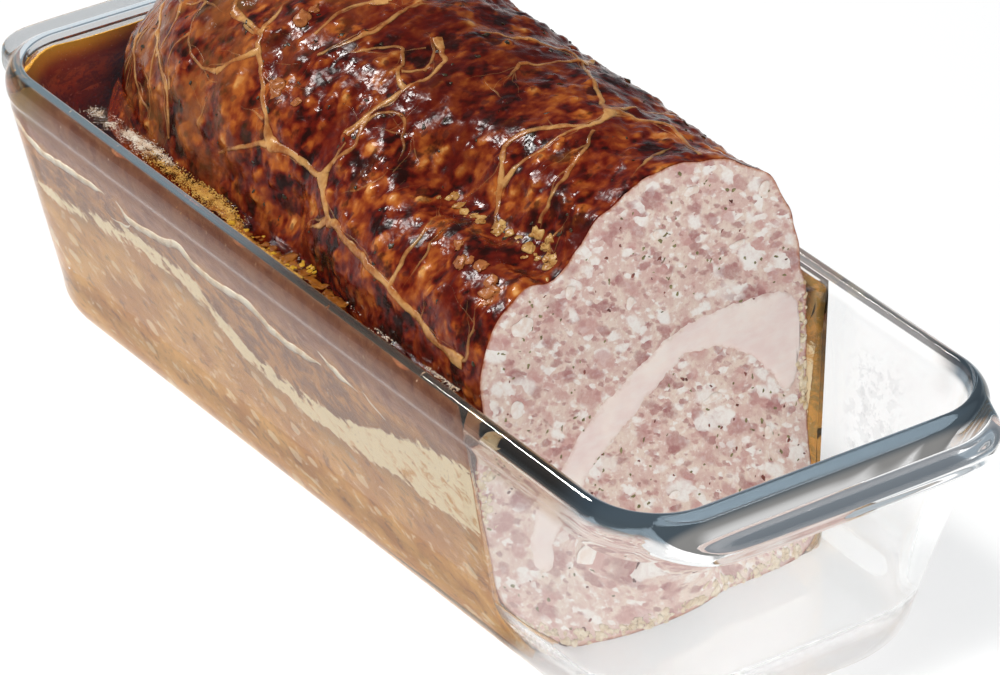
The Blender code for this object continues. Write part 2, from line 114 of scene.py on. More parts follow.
def colour(name, description, red, green, blue):
    return FloatVectorProperty(name=name, description=description, subtype="COLOR", size=3,
                               min=0.0, max=1.0, default=shade(red, green, blue))


def count(name, description, default):
    return IntProperty(name=name, description=description, default=default, min=0)


class TERRINE_PG_dish(bpy.types.PropertyGroup):
    handle_reach: length("Handle reach", "How far each handle stands out past the rim", 9.6)
    handle_half_width: length("Handle half width", "Half of a handle, along the end", 47.0)
    bead_width: length("Bead width", "Width of the thick bead round the rim", 4.15)
    bead_crown: length("Bead crown", "Height of the bead above the rim's inner edge", 0.4)
    floor_thickness: length("Floor thickness", "Thickness of the glass floor", 5.0)
    floor_fillet: length("Floor fillet", "Radius where the hollow's wall meets its floor", 12.0)
    base_fillet: length("Base fillet", "Radius of the outside edge of the base", 8.4)
    # Rim tint: partly the thick glass's own colour, darkened as painted shade for the dark
    # refraction in the rim.
    rim_tint_and_painted_shade: colour("Rim tint", "Colour of the thick glass at the empty end's rim",
                     52, 66, 76)
    # The glows and the haze are painted light: emission in clear glass that stands in for light
    # carried along inside it.
    painted_rim_glow: colour("Rim glow", "Light inside the rim of the empty end", 50, 60, 68)
    painted_flange_glow: colour("Flange glow", "Light inside the handle of the empty end",
                        78, 76, 76)
    smears: colour("Smears", "Faint smears on the far wall of the empty end",
                   224, 225, 226)
    # Side and far tints are painted: brownish on the near side for what lies behind, grey shade
    # at the far end.
    painted_side_tint: colour("Side tint", "Colour of the near side's rim", 220, 202, 184)
    painted_far_shade: colour("Far tint", "Colour of the rim and handle at the far end",
                     200, 202, 204)
    # Painted highlight: pale emission along the near rim's top.
    painted_rim_shine: colour("Rim shine", "Pale light along the near rim's top", 118, 140, 152)
    # More painted glow: emission that stands in for light carried along inside the glass.
    painted_side_glow: colour("Side glow", "Light inside the near side's rim", 36, 34, 32)
    painted_far_glow: colour("Far glow", "Light inside the far rim", 104, 104, 104)
    painted_foot_glow: colour("Foot glow", "Light inside the empty foot", 58, 60, 61)
    painted_tan_glow: colour("Tan glow", "Light inside the foot under the loaf", 74, 62, 44)
    painted_haze: colour("Haze", "Faint haze on the wall of the empty end", 48, 48, 47)


class TERRINE_PG_loaf(bpy.types.PropertyGroup):
    lump_height: length("Lump height", "Height of the crust's broad lumps", 1.5)
    crag_height: length("Crag height", "Height of the crust's smaller crags", 0.8)
    pebble_height: length("Pebble height", "How far the fat lumps stand out", 0.55)
    grain_height: length("Grain height", "Height of the crust's fine grain", 0.3)
    crumb_height: length("Crumb height", "Unevenness of the cut face", 0.18)
    char: colour("Char", "Almost black patches of the crust", 38, 13, 9)
    plum: colour("Plum", "Dark purple-brown spots of meat", 70, 30, 28)
    deep_red: colour("Deep red", "Dark red meat under the glaze", 94, 22, 12)
    mahogany: colour("Mahogany", "The crust's red brown", 130, 52, 22)
    browned_fat: colour("Browned fat", "Orange-brown fat in the crust", 178, 96, 38)
    pale_fat: colour("Pale fat", "The palest fat in the crust", 222, 160, 92)
    fat_film: colour("Fat film", "Thin golden fat over the crust's far end", 160, 108, 58)


class TERRINE_PG_cut(bpy.types.PropertyGroup):
    paste: colour("Paste", "Pale forcemeat between the pieces", 226, 204, 188)
    paste_pink: colour("Pink paste", "Pinker forcemeat", 214, 180, 168)
    meat: colour("Meat", "Pieces of rabbit and pork", 200, 150, 142)
    meat_dark: colour("Dark meat", "The darkest pieces", 160, 100, 98)
    fat: colour("Fat", "White pieces of back fat", 240, 232, 224)
    fillet: colour("Fillet", "Pale fillet that runs through the loaf", 244, 228, 216)
    fillet_pink: colour("Fillet pink", "Pinker parts of the fillet", 234, 210, 202)
    herbs: count("Herb flecks", "Flecks of herb on the cut face", 200)
    peppers: count("Pepper flecks", "Red-brown flecks on the cut face", 90)
    crust_herbs: count("Crust herbs", "Flecks of herb in the crust", 220)
    herb_green: colour("Herb green", "Dried herb", 146, 138, 92)
    pepper_red: colour("Pepper red", "Cracked pepper and dark meat flecks", 140, 78, 66)


class TERRINE_PG_caul(bpy.types.PropertyGroup):
    step: length("Step", "Distance between the rings of a strand", 0.7)
    flatness: amount("Flatness", "Height of a strand as a share of its width", 0.22,
                     min=0.0, max=1.0, subtype="FACTOR")
    wander: length("Wander", "How far a strand strays from its route", 1.1)
    twigs: count("Twigs", "Thin side branches over the whole net", 96)
    gold: colour("Gold", "Thick caul fat", 214, 162, 98)
    brown: colour("Brown", "Browned caul fat", 166, 102, 50)


class TERRINE_PG_aspic(bpy.types.PropertyGroup):
    into_glass: length("Into glass", "How far the aspic reaches into the wall", 0.2)
    into_loaf: length("Into loaf", "How far the aspic reaches into the loaf", 0.6)
    layer: length("Layer", "Thickness of the layer settled on the glass", 1.2)
    layer_gap: length("Layer gap", "Clear aspic between that layer and the glass", 0.25)
    tint: colour("Tint", "Colour of a thick piece of aspic", 243, 190, 98)
    depth: amount("Depth", "How strongly thick aspic is tinted", 60.0, min=0.0)
    top_brown: colour("Top brown", "Side just under the surface", 134, 68, 30)
    top_mauve: colour("Top mauve", "Paler parts just under the surface", 176, 122, 84)
    top_olive: colour("Top olive", "Yellow fat under the surface at the far end",
                      206, 156, 50)
    deep_amber: colour("Deep amber", "Thick aspic at the far end", 138, 60, 22)
    amber: colour("Amber", "Thick aspic beside the far edge of the cut", 168, 138, 76)
    brown: colour("Brown", "Darker meat on the side", 138, 84, 38)
    orange: colour("Orange", "Orange-brown meat on the side", 196, 132, 58)
    tan: colour("Tan", "Tan parts of the side", 222, 166, 84)
    cream: colour("Cream", "Set fat on the side", 255, 238, 198)


class TERRINE_PG_stage(bpy.types.PropertyGroup):
    floor: colour("Floor", "The pale floor", 178, 178, 177)
    lens: amount("Lens", "Focal length", 230.2, unit="CAMERA")
    distance: amount("Distance", "Camera distance", 1.3812, unit="LENGTH")
    azimuth: amount("Azimuth", "Turn round the dish", 0.9232, subtype="ANGLE")
    elevation: amount("Elevation", "Height above the horizon", 0.5401, subtype="ANGLE")
    roll: amount("Roll", "Tilt of the horizon", 0.0309, subtype="ANGLE")


# ---- Small helpers ----

CURVE_STEPS = 16


def mix(first, second, part):
    return first + (second - first) * part


def smoothstep(low, high, value):
    part = min(1.0, max(0.0, (value - low) / (high - low)))
    return part * part * (3.0 - 2.0 * part)


def along_table(table, x):
    """Values of a table of (x, value, ...) rows at x, straight between rows."""
    if x <= table[0][0]:
        return table[0][1:]
    for before, after in zip(table, table[1:]):
        if x <= after[0]:
            part = (x - before[0]) / (after[0] - before[0])
            return tuple(mix(a, b, part) for a, b in zip(before[1:], after[1:]))
    return table[-1][1:]


def spline_points(outline, number, cyclic=False):
    """Evenly spaced points on a Catmull-Rom curve through the outline's points."""
    last = len(outline) if cyclic else len(outline) - 1
    dense = []
    for index in range(last):
        picks = [(index + k) % last if cyclic else min(max(index + k, 0), last)
                 for k in (-1, 0, 1, 2)]
        before, start, end, after = (Vector(outline[pick]) for pick in picks)
        for step in range(CURVE_STEPS):
            t = step / CURVE_STEPS
            dense.append(0.5 * (2.0 * start + (end - before) * t
                                + (2.0 * before - 5.0 * start + 4.0 * end - after) * t ** 2
                                + (3.0 * start - before - 3.0 * end + after) * t ** 3))
    dense.append(Vector(outline[0] if cyclic else outline[-1]))
    reach = [0.0]
    for first, second in zip(dense, dense[1:]):
        reach.append(reach[-1] + (second - first).length)
    spaces = number if cyclic else number - 1
    points = []
    segment = 0
    for index in range(number):
        target = reach[-1] * index / spaces
        while segment < len(reach) - 2 and reach[segment + 1] < target:
            segment += 1
        span = reach[segment + 1] - reach[segment]
        part = (target - reach[segment]) / span if span > 0.0 else 0.0
        points.append(dense[segment].lerp(dense[segment + 1], part))
    return points


def loft(rings, start_point=None, end_point=None):
    """One closed skin over rings of equal count, each end a pole or a flat face."""
    builder = bmesh.new()
    rows = [[builder.verts.new(Vector(point) * MM) for point in ring] for ring in rings]
    number = len(rings[0])
    for lower, upper in zip(rows, rows[1:]):
        for index in range(number):
            following = (index + 1) % number
            builder.faces.new((lower[index], lower[following],
                               upper[following], upper[index]))
    if start_point is None:
        builder.faces.new(tuple(reversed(rows[0])))
    else:
        pole = builder.verts.new(Vector(start_point) * MM)
        for index in range(number):
            builder.faces.new((pole, rows[0][(index + 1) % number], rows[0][index]))
    if end_point is None:
        builder.faces.new(tuple(rows[-1]))
    else:
        pole = builder.verts.new(Vector(end_point) * MM)
        for index in range(number):
            builder.faces.new((rows[-1][index], rows[-1][(index + 1) % number], pole))
    return builder


def finished_mesh(name, builder, materials):
    mesh = bpy.data.meshes.new(name)
    builder.normal_update()
    builder.to_mesh(mesh)
    builder.free()
    for material in materials:
        mesh.materials.append(material)
    mesh.shade_smooth()
    return mesh


def keep_in_box(mesh):
    """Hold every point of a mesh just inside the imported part's box."""
    places = numpy.empty(3 * len(mesh.vertices), dtype=numpy.float32)
    mesh.vertices.foreach_get("co", places)
    low, high = (numpy.array(corner, dtype=numpy.float32) for corner in CAD_BOX)
    held = numpy.clip(places.reshape(-1, 3), low + BOX_MARGIN, high - BOX_MARGIN)
    mesh.vertices.foreach_set("co", held.ravel())


def add_object(name, data):
    made = bpy.data.objects.new(name, data)
    bpy.context.scene.collection.objects.link(made)
    return made


def add_piece(name, mesh, slot, *replaced):
    """Stand a finished mesh in the scene as a piece of the one body."""
    keep_in_box(mesh)
    piece = add_object(name, mesh)
    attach(piece, "root")
    if replaced:
        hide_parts(*replaced)
    return piece


# ---- Node trees ----

class Field:
    """One socket of a node tree. Arithmetic on it adds Math nodes."""

    def __init__(self, tree, socket):
        self.tree = tree
        self.socket = socket

    def math(self, operation, *values):
        return self.tree.field("ShaderNodeMath", {"operation": operation},
                               dict(enumerate(values)))

    def __add__(self, other):
        return self.math("ADD", self, other)

    def __sub__(self, other):
        return self.math("SUBTRACT", self, other)

    def __rsub__(self, other):
        return self.math("SUBTRACT", other, self)

    def __mul__(self, other):
        return self.math("MULTIPLY", self, other)

    def __truediv__(self, other):
        return self.math("DIVIDE", self, other)

    def __rtruediv__(self, other):
        return self.math("DIVIDE", other, self)

    def __pow__(self, other):
        return self.math("POWER", self, other)

    __radd__ = __add__
    __rmul__ = __mul__

    def fade(self, low, high):
        """0 below low, 1 above high and smooth between; falling where low is the higher."""
        ends = (low, high, 0.0, 1.0) if low < high else (high, low, 1.0, 0.0)
        inputs = {"Value": self, 1: ends[0], 2: ends[1], 3: ends[2], 4: ends[3]}
        return self.tree.field("ShaderNodeMapRange", {"interpolation_type": "SMOOTHSTEP"},
                               inputs)


class Tree:
    """A shader or geometry tree, written as expressions."""

    def __init__(self, group):
        self.nodes = group.nodes
        self.links = group.links

    def node(self, kind, settings=None, inputs=None):
        made = self.nodes.new(kind)
        for name, value in (settings or {}).items():
            if name == "stops":
                self.set_stops(made.color_ramp, value)
            else:
                setattr(made, name, value)
        for key, value in (inputs or {}).items():
            self.feed(made.inputs[key], value)
        return made

    def set_stops(self, ramp, stops):
        for place, _ in stops[2:]:
            ramp.elements.new(place)
        for element, (place, paint) in zip(ramp.elements, stops):
            element.position = place
            element.color = (*paint, 1.0)

    def feed(self, socket, value):
        if isinstance(value, Field):
            self.links.new(value.socket, socket)
        elif isinstance(value, bpy.types.Node):
            self.links.new(value.outputs[0], socket)
        elif socket.type == "RGBA":
            socket.default_value = (*value, 1.0)
        else:
            socket.default_value = value

    def field(self, kind, settings=None, inputs=None, output=0):
        return Field(self, self.node(kind, settings, inputs).outputs[output])

    def blend(self, part, first, second):
        """A colour between two, by a share from 0 to 1."""
        return self.field("ShaderNodeMix", {"data_type": "RGBA"},
                          {0: part, 6: first, 7: second}, 2)

    def vector(self, operation, first, second):
        return self.field("ShaderNodeVectorMath", {"operation": operation},
                          {0: first, 1: second})

    def scaled(self, place, factor):
        return self.field("ShaderNodeVectorMath", {"operation": "SCALE"},
                          {0: place, "Scale": factor})

    def axis(self, place, name):
        return self.field("ShaderNodeSeparateXYZ", {}, {0: place}, name)

    def noise(self, place, size, detail=3.0, roughness=0.55):
        """Cloudy noise from 0 to 1, with lumps about size millimetres across."""
        return self.field("ShaderNodeTexNoise", {},
                          {"Vector": place, "Scale": 1.0 / (size * MM), "Detail": detail,
                           "Roughness": roughness})

    def push(self, place, size, reach, detail=2.0):
        """A step in an uneven direction, by up to about half of reach each way."""
        swirl = self.field("ShaderNodeTexNoise", {},
                           {"Vector": place, "Scale": 1.0 / (size * MM),
                            "Detail": detail}, "Color")
        return self.scaled(self.vector("SUBTRACT", swirl, (0.5, 0.5, 0.5)), reach)

    def warped(self, place, size, amount):
        """A place pushed about by noise, by up to about half of amount millimetres."""
        return self.vector("ADD", place, self.push(place, size, amount * MM))

    def cells(self, place, size):
        """Distance to the nearest seed, 0 at it, and two random numbers of its cell."""
        seeds = self.node("ShaderNodeTexVoronoi", {},
                          {"Vector": place, "Scale": 1.0 / (size * MM)})
        tones = self.node("ShaderNodeSeparateXYZ", {},
                          {0: Field(self, seeds.outputs["Color"])})
        return (Field(self, seeds.outputs["Distance"]), Field(self, tones.outputs[0]),
                Field(self, tones.outputs[1]))

    def patches(self, place, size):
        """A random tone for each cell, melting into the tones beside it."""
        seeds = self.node("ShaderNodeTexVoronoi", {"feature": "SMOOTH_F1"},
                          {"Vector": place, "Scale": 1.0 / (size * MM), "Smoothness": 0.4})
        return self.axis(Field(self, seeds.outputs["Color"]), "X")


class Finish(Tree):
    """A material. Its patterns are laid out in the object's own space."""

    def __init__(self, name):
        self.material = bpy.data.materials.new(name)
        self.material.use_nodes = True
        group = self.material.node_tree
        group.nodes.clear()
        super().__init__(group)
        self.shader = self.node("ShaderNodeBsdfPrincipled")
        self.output = self.node("ShaderNodeOutputMaterial", {}, {"Surface": self.shader})
        self.place = self.field("ShaderNodeTexCoord", output="Object")

    def along(self, name):
        """The place along an axis, in millimetres."""
        return self.axis(self.place, name) / MM

    def attribute(self, name):
        return self.field("ShaderNodeAttribute", {"attribute_name": name}, output="Fac")

    def set(self, **values):
        """Shader inputs by name, with _ for a space."""
        for name, value in values.items():
            self.feed(self.shader.inputs[name.replace("_", " ")], value)

    def bump(self, height, rise, strength=1.0):
        bump = self.field("ShaderNodeBump", {},
                          {"Height": height, "Distance": rise * MM, "Strength": strength})
        self.feed(self.shader.inputs["Normal"], bump)

    def let_lamps_through(self):
        """Shadow rays pass straight through, so that lamps reach what lies inside."""
        path = self.field("ShaderNodeLightPath", output="Is Shadow Ray")
        clear = self.node("ShaderNodeBsdfTransparent")
        both = self.node("ShaderNodeMixShader", {}, {0: path, 1: self.shader, 2: clear})
        self.feed(self.output.inputs["Surface"], both)

    def glow(self, paint, strength):
        """Emission that lamps outshine, so that no light rays are spent on seeking it."""
        self.set(Emission_Color=paint, Emission_Strength=strength)
        self.material.cycles.emission_sampling = "NONE"

    def absorb(self, tint, density):
        inside = self.node("ShaderNodeVolumeAbsorption", {},
                           {"Color": tint, "Density": density})
        self.feed(self.output.inputs["Volume"], inside)


class Growth(Tree):
    """A geometry tree with named inputs, run once on a mesh."""

    KINDS = {"Geometry": "Geometry", "Ground": "Object", "Finish": "Material",
             "Cut Finish": "Material", "Sides": "Int", "Seed": "Int", "Number": "Int",
             "Fineness": "Int"}

    def __init__(self, name, names):
        self.group = bpy.data.node_groups.new(name, "GeometryNodeTree")
        super().__init__(self.group)
        for socket in ("Geometry", *names):
            kind = self.KINDS.get(socket, "Float")
            self.group.interface.new_socket(socket, in_out="INPUT",
                                            socket_type="NodeSocket" + kind)
        self.group.interface.new_socket("Geometry", in_out="OUTPUT",
                                        socket_type="NodeSocketGeometry")
        self.entry = self.node("NodeGroupInput")
        self.place = self.field("GeometryNodeInputPosition")

    def given(self, name):
        return Field(self, self.entry.outputs[name])

    def named(self, name):
        return self.field("GeometryNodeInputNamedAttribute", {"data_type": "FLOAT"},
                          {"Name": name})

    def ground(self):
        """The mesh of the object that the tree lays things on."""
        return self.field("GeometryNodeObjectInfo", {"transform_space": "ORIGINAL"},
                          {"Object": self.given("Ground")}, "Geometry")

    def random(self, low, high, offset):
        """A random number for each point, from the tree's fixed seed and an offset."""
        return self.field("FunctionNodeRandomValue", {"data_type": "FLOAT"},
                          {2: low, 3: high, "Seed": self.given("Seed") + offset}, 1)

    def random_way(self, offset):
        """A random step for each point, of up to 1 each way along every axis."""
        return self.field("FunctionNodeRandomValue", {"data_type": "FLOAT_VECTOR"},
                          {0: (-1.0, -1.0, -1.0), 1: (1.0, 1.0, 1.0),
                           "Seed": self.given("Seed") + offset})

    def nearest(self, ground, place=None):
        """The nearest place on a mesh, to each point or to a place of its own."""
        inputs = {0: ground}
        if place is not None:
            inputs["Source Position"] = place
        return self.field("GeometryNodeProximity", {"target_element": "FACES"}, inputs)

    def shifted(self, geometry, offset):
        return self.field("GeometryNodeSetPosition", {}, {0: geometry, "Offset": offset})

    def placed(self, geometry, position):
        return self.field("GeometryNodeSetPosition", {},
                          {0: geometry, "Position": position})

    def flattened(self, geometry, near):
        """Points drawn in towards their nearest place on the ground."""
        above = self.scaled(self.vector("SUBTRACT", self.place, near),
                            self.given("Flatness"))
        return self.placed(geometry, self.vector("ADD", near, above))

    def finish(self, geometry, cut=None):
        """End the tree: real mesh, smooth, in its material, with another on the cut."""
        solid = self.field("GeometryNodeRealizeInstances", {}, {0: geometry})
        smooth = self.field("GeometryNodeSetShadeSmooth", {}, {0: solid})
        dressed = self.field("GeometryNodeSetMaterial", {},
                             {0: smooth, "Material": self.given("Finish")})
        if cut is not None:
            dressed = self.field("GeometryNodeSetMaterial", {},
                                 {0: dressed, "Selection": cut,
                                  "Material": self.given("Cut Finish")})
        self.node("NodeGroupOutput", {}, {0: dressed})

    def grown(self, name, mesh, **values):
        """Run the tree on a mesh and hand back the result as a plain mesh."""
        carrier = add_object(name, mesh)
        modifier = carrier.modifiers.new(self.group.name, "NODES")
        modifier.node_group = self.group
        for socket in self.group.interface.items_tree:
            key = socket.name.replace(" ", "_").lower()
            if socket.in_out == "INPUT" and key in values:
                modifier[socket.identifier] = values[key]
        carrier.update_tag()
        graph = bpy.context.evaluated_depsgraph_get()
        result = bpy.data.meshes.new_from_object(carrier.evaluated_get(graph))
        result.name = name
        bpy.data.objects.remove(carrier, do_unlink=True)
        return result


# ---- Glass dish ----
RIM_RADIUS = 16.5
BASE_RADIUS = 32.2
SPRING_RADIUS = 26.0
BASE_INSET_X = 0.9
BASE_INSET_Y = 2.9
SPRING_INSET_X = 4.4
SPRING_INSET_Y = 4.8
HANDLE_SQUARENESS = 7.0
# Up and over the bead: inset from its outside, height above the base, and the shares of
# the handle's reach and fall that draw this line out and down at the ends.
BEAD_PROFILE = [
    (1.2, 52.0, 0.0, 0.0), (0.9, 54.6, 0.16, 0.6), (0.2, 56.2, 0.875, 0.9),
    (0.0, 58.4, 1.0, 1.0), (0.3, 60.3, 0.94, 0.75), (1.2, 61.9, 0.15, 0.45),
    (2.4, 62.9, 0.0, 0.0), (3.4, 63.1, 0.0, 0.0), (4.1, 62.8, 0.0, 0.0),
]
HANDLE_FALL = 1.6
RIM_LAP = 0.4
GLASS_TINT = (0.98, 0.985, 0.985)
NO_GLOW = (0.0, 0.0, 0.0)
# Zones of the glass, as places where each begins and where it is full: along x, across
# the dish in y, then up it in z.
EMPTY_END_X = (98.0, 112.0)
LOADED_END_X = (-92.0, -112.0)
WITHOUT_HANDLE_X = (132.0, 129.4)
UNDER_LOAF_X = (72.0, 64.0)
# SHINE_X and SHINE_Z bound the painted highlight along the near rim's top.
SHINE_X = (10.0, -40.0)
BARE_FOOT_X = (68.0, 80.0)
SMEAR_X = ((75.0, 79.0), (98.0, 88.0))
FAR_SIDE_Y = (20.0, 46.0)
SMEAR_Y = (40.0, 44.0)
FOOT_Z = (9.0, 4.0)
BARE_FOOT_Z = (15.0, 7.0)
SMEAR_Z = ((18.0, 24.0), (52.0, 46.0))
SIDE_TINT_Z = (50.0, 54.0)
BEAD_Z = (57.8, 59.8)
SHINE_Z = (62.3, 62.8)
SMEAR_SIZE = 4.0
# SHINE_SHARE is how strongly that painted highlight shows.
SHINE_SHARE = 0.7
SMEAR_SHARE = 0.7
BARE_FOOT_CLEARNESS = 0.7
BEAD_STEPS = 44
WALL_STEPS = 10
FILLET_STEPS = 9
CORNER_STEPS = 22
END_STEPS = 44
SIDE_STEPS = 24


class Dish:
    """The dish's measures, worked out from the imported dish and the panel's sizes."""

    def __init__(self, sizes):
        self.reach = sizes.handle_reach / MM
        self.half_handle = sizes.handle_half_width / MM
        self.bead = sizes.bead_width / MM
        self.floor = sizes.floor_thickness / MM
        self.fillet = sizes.floor_fillet / MM
        self.base_fillet = sizes.base_fillet / MM
        self.half_length = DISH_HIGH.x - self.reach - self.bead
        self.half_width = DISH_HIGH.y - self.bead
        self.rim = DISH_HIGH.z - sizes.bead_crown / MM

    def inner_size(self, z):
        """Half-length, half-width and corner radius of the hollow at a height."""
        spring = self.floor + self.fillet
        part = min(1.0, max(0.0, (z - spring) / (self.rim - spring)))
        half_length = mix(self.half_length - SPRING_INSET_X, self.half_length, part)
        half_width = mix(self.half_width - SPRING_INSET_Y, self.half_width, part)
        radius = mix(SPRING_RADIUS, RIM_RADIUS, part)
        drop = spring - z
        inset = 0.0
        if drop > 0.0:
            inset = self.fillet - math.sqrt(max(0.0, self.fillet ** 2 - drop ** 2))
        return half_length - inset, half_width - inset, radius - inset

    def holds(self, place):
        """Whether a place is inside the hollow, at the place's own height."""
        half_length, half_width, radius = self.inner_size(place.z)
        x = abs(place.x)
        y = abs(place.y)
        past = Vector((max(0.0, x - half_length + radius),
                       max(0.0, y - half_width + radius)))
        return past.length <= radius and x <= half_length and y <= half_width

    def handle_share(self, y):
        across = min(1.0, abs(y) / self.half_handle)
        return math.sqrt(1.0 - across ** HANDLE_SQUARENESS)

    def ring(self, half_length, half_width, radius, z, reach=0.0, fall=0.0):
        points = []
        for x, y in rounded_rectangle(half_length, half_width, radius):
            near_end = abs(x) > half_length - radius - 1.0
            part = self.handle_share(y) if near_end else 0.0
            points.append((x + math.copysign(reach * part, x), y, z - fall * part))
        return points

    def outside_rings(self):
        base_length = self.half_length - BASE_INSET_X
        base_width = self.half_width - BASE_INSET_Y
        rings = []
        for step in range(FILLET_STEPS + 1):
            angle = 0.5 * math.pi * step / FILLET_STEPS
            inset = self.base_fillet * (1.0 - math.sin(angle))
            z = self.base_fillet * (1.0 - math.cos(angle))
            rings.append(self.ring(base_length - inset, base_width - inset,
                                   BASE_RADIUS - inset, z))
        wall_inset, wall_top = BEAD_PROFILE[0][:2]
        bead = self.bead - wall_inset
        for step in range(1, WALL_STEPS):
            part = step / WALL_STEPS
            rings.append(self.ring(mix(base_length, self.half_length + bead, part),
                                   mix(base_width, self.half_width + bead, part),
                                   mix(BASE_RADIUS, RIM_RADIUS + bead, part),
                                   mix(self.base_fillet, wall_top, part)))
        return rings

    def bead_rings(self):
        rings = []
        for inset, z, reach, fall in spline_points(BEAD_PROFILE, BEAD_STEPS):
            bead = self.bead - inset
            out = min(max(reach, 0.0), 1.0) * self.reach
            rings.append(self.ring(self.half_length + bead, self.half_width + bead,
                                   RIM_RADIUS + bead, min(z, DISH_HIGH.z), out,
                                   fall * HANDLE_FALL))
        return rings

    def inside_rings(self):
        spring = self.floor + self.fillet
        heights = [mix(self.rim - RIM_LAP, spring, step / WALL_STEPS)
                   for step in range(WALL_STEPS)]
        for step in range(FILLET_STEPS + 1):
            angle = 0.5 * math.pi * step / FILLET_STEPS
            heights.append(self.floor + self.fillet * (1.0 - math.sin(angle)))
        return [self.ring(*self.inner_size(z), z) for z in heights]


def rounded_rectangle(half_length, half_width, radius):
    """Counter-clockwise plan points, with the same count for every size."""
    straight_x = half_length - radius
    straight_y = half_width - radius
    points = []

    def add_line(start, end, steps):
        for step in range(steps):
            points.append(tuple(Vector(start).lerp(Vector(end), step / steps)))

    def add_corner(centre_x, centre_y, first_angle):
        for step in range(CORNER_STEPS):
            angle = first_angle + 0.5 * math.pi * step / CORNER_STEPS
            points.append((centre_x + radius * math.cos(angle),
                           centre_y + radius * math.sin(angle)))

    add_line((half_length, -straight_y), (half_length, straight_y), END_STEPS)
    add_corner(straight_x, straight_y, 0.0)
    add_line((straight_x, half_width), (-straight_x, half_width), SIDE_STEPS)
    add_corner(-straight_x, straight_y, 0.5 * math.pi)
    add_line((-half_length, straight_y), (-half_length, -straight_y), END_STEPS)
    add_corner(-straight_x, -straight_y, math.pi)
    add_line((-straight_x, -half_width), (straight_x, -half_width), SIDE_STEPS)
    add_corner(straight_x, -straight_y, 1.5 * math.pi)
    return points


def glass_finish(settings):
    """Clear glass. Its thick rim, handle and foot and the empty end's wall glow faintly: a
    painted glow that stands in for light carried along inside. A painted highlight runs
    along the near rim's top.

    The rim is tinted too: at the empty end dark blue grey, partly the glass's own colour and
    partly painted dark refraction; brownish on the near side, painted refraction of what
    lies behind; grey at the far end, painted shade. The far wall of the empty end is
    faintly smeared.
    """
    finish = Finish("clear_glass")
    x = finish.along("X")
    y = finish.along("Y")
    z = finish.along("Z")
    near_end = x.fade(*EMPTY_END_X)
    far_side = y.fade(*FAR_SIDE_Y) * (1.0 - near_end)
    near_side = (1.0 - near_end) * (1.0 - far_side)
    no_handle = x.fade(*WITHOUT_HANDLE_X)
    on_bead = z.fade(*BEAD_Z)
    # Painted glow, zone by zone: emission in the bead, the handle, the foot and the empty end's
    # wall stands in for light carried along inside the glass, tan under the loaf for light from
    # the meat.
    bead = finish.blend(no_handle, settings.painted_flange_glow, settings.painted_rim_glow)
    bead = finish.blend(near_end, settings.painted_side_glow, bead)
    bead = finish.blend(far_side, bead, settings.painted_far_glow)
    foot = finish.blend(x.fade(*UNDER_LOAF_X), settings.painted_foot_glow, settings.painted_tan_glow)
    wall = finish.blend(near_end, NO_GLOW, settings.painted_haze)
    glow = finish.blend(z.fade(*FOOT_Z), wall, foot)
    glow = finish.blend(on_bead, glow, bead)
    # Painted highlight: pale emission along the near rim's top.
    painted_shine = z.fade(*SHINE_Z) * near_side * x.fade(*SHINE_X) * SHINE_SHARE
    glow = finish.blend(painted_shine, glow, settings.painted_rim_shine)
    # Painted shade: darker tints on the rim and the near side's upper wall, partly the glass's
    # own colour at the empty end's rim; grey at the far end.
    tint = finish.blend(x.fade(*LOADED_END_X), settings.painted_side_tint, settings.painted_far_shade)
    tint = finish.blend(near_end, tint, settings.rim_tint_and_painted_shade)
    tinted = on_bead * (1.0 - near_side) + z.fade(*SIDE_TINT_Z) * near_side
    tint = finish.blend(tinted * (1.0 - far_side) * no_handle, GLASS_TINT, tint)
    smear = finish.noise(finish.place, SMEAR_SIZE, 4.0, 0.65).fade(0.52, 0.56)
    smear = smear * x.fade(*SMEAR_X[0]) * x.fade(*SMEAR_X[1]) * y.fade(*SMEAR_Y)
    smear = smear * z.fade(*SMEAR_Z[0]) * z.fade(*SMEAR_Z[1])
    tint = finish.blend(smear * SMEAR_SHARE, tint, settings.smears)
    bare_foot = z.fade(*BARE_FOOT_Z) * x.fade(*BARE_FOOT_X)
    finish.set(Base_Color=tint, Roughness=0.0, IOR=1.47, Transmission_Weight=1.0,
               Specular_IOR_Level=0.2, Alpha=1.0 - bare_foot * BARE_FOOT_CLEARNESS)
    finish.glow(glow, 1.0)
    finish.let_lamps_through()
    return finish.material


class TERRINE_OT_dish(bpy.types.Operator):
    """Smooth glass loaf dish with its bead and handles"""
    bl_idname = "terrine.dish"
    bl_label = "Glass dish"

    def execute(self, context):
        settings = context.scene.terrine_dish
        dish = Dish(settings)
        rings = dish.outside_rings() + dish.bead_rings() + dish.inside_rings()
        mesh = finished_mesh("glass_dish", loft(rings), [glass_finish(settings)])
        add_piece("glass_dish", mesh, "glass", "dish")
        return {"FINISHED"}


# ---- Loaf ----
LOAF_FLOOR = 4.9
SPRING_X = -50.0
END_LENGTH = SPRING_X - LOAF_LOW.x
AXIS_Z = 35.0
END_TOP_ROUNDNESS = 2.4
END_FOOT_ROUNDNESS = 4.0
END_WIDTH_ROUNDNESS = 2.2
CUT_X_AT_FLOOR = 72.5
CUT_LEAN = 0.115
CUT_BULGE = 13.0
CUT_BULGE_HEIGHT = 22.0
CUT_BULGE_HALF_WIDTH = 46.0
DOME_POINTS = 236
LOWER_POINTS = 74
STRAIGHT_STATIONS = 150
END_STATIONS = 64
CAP_RINGS = 34

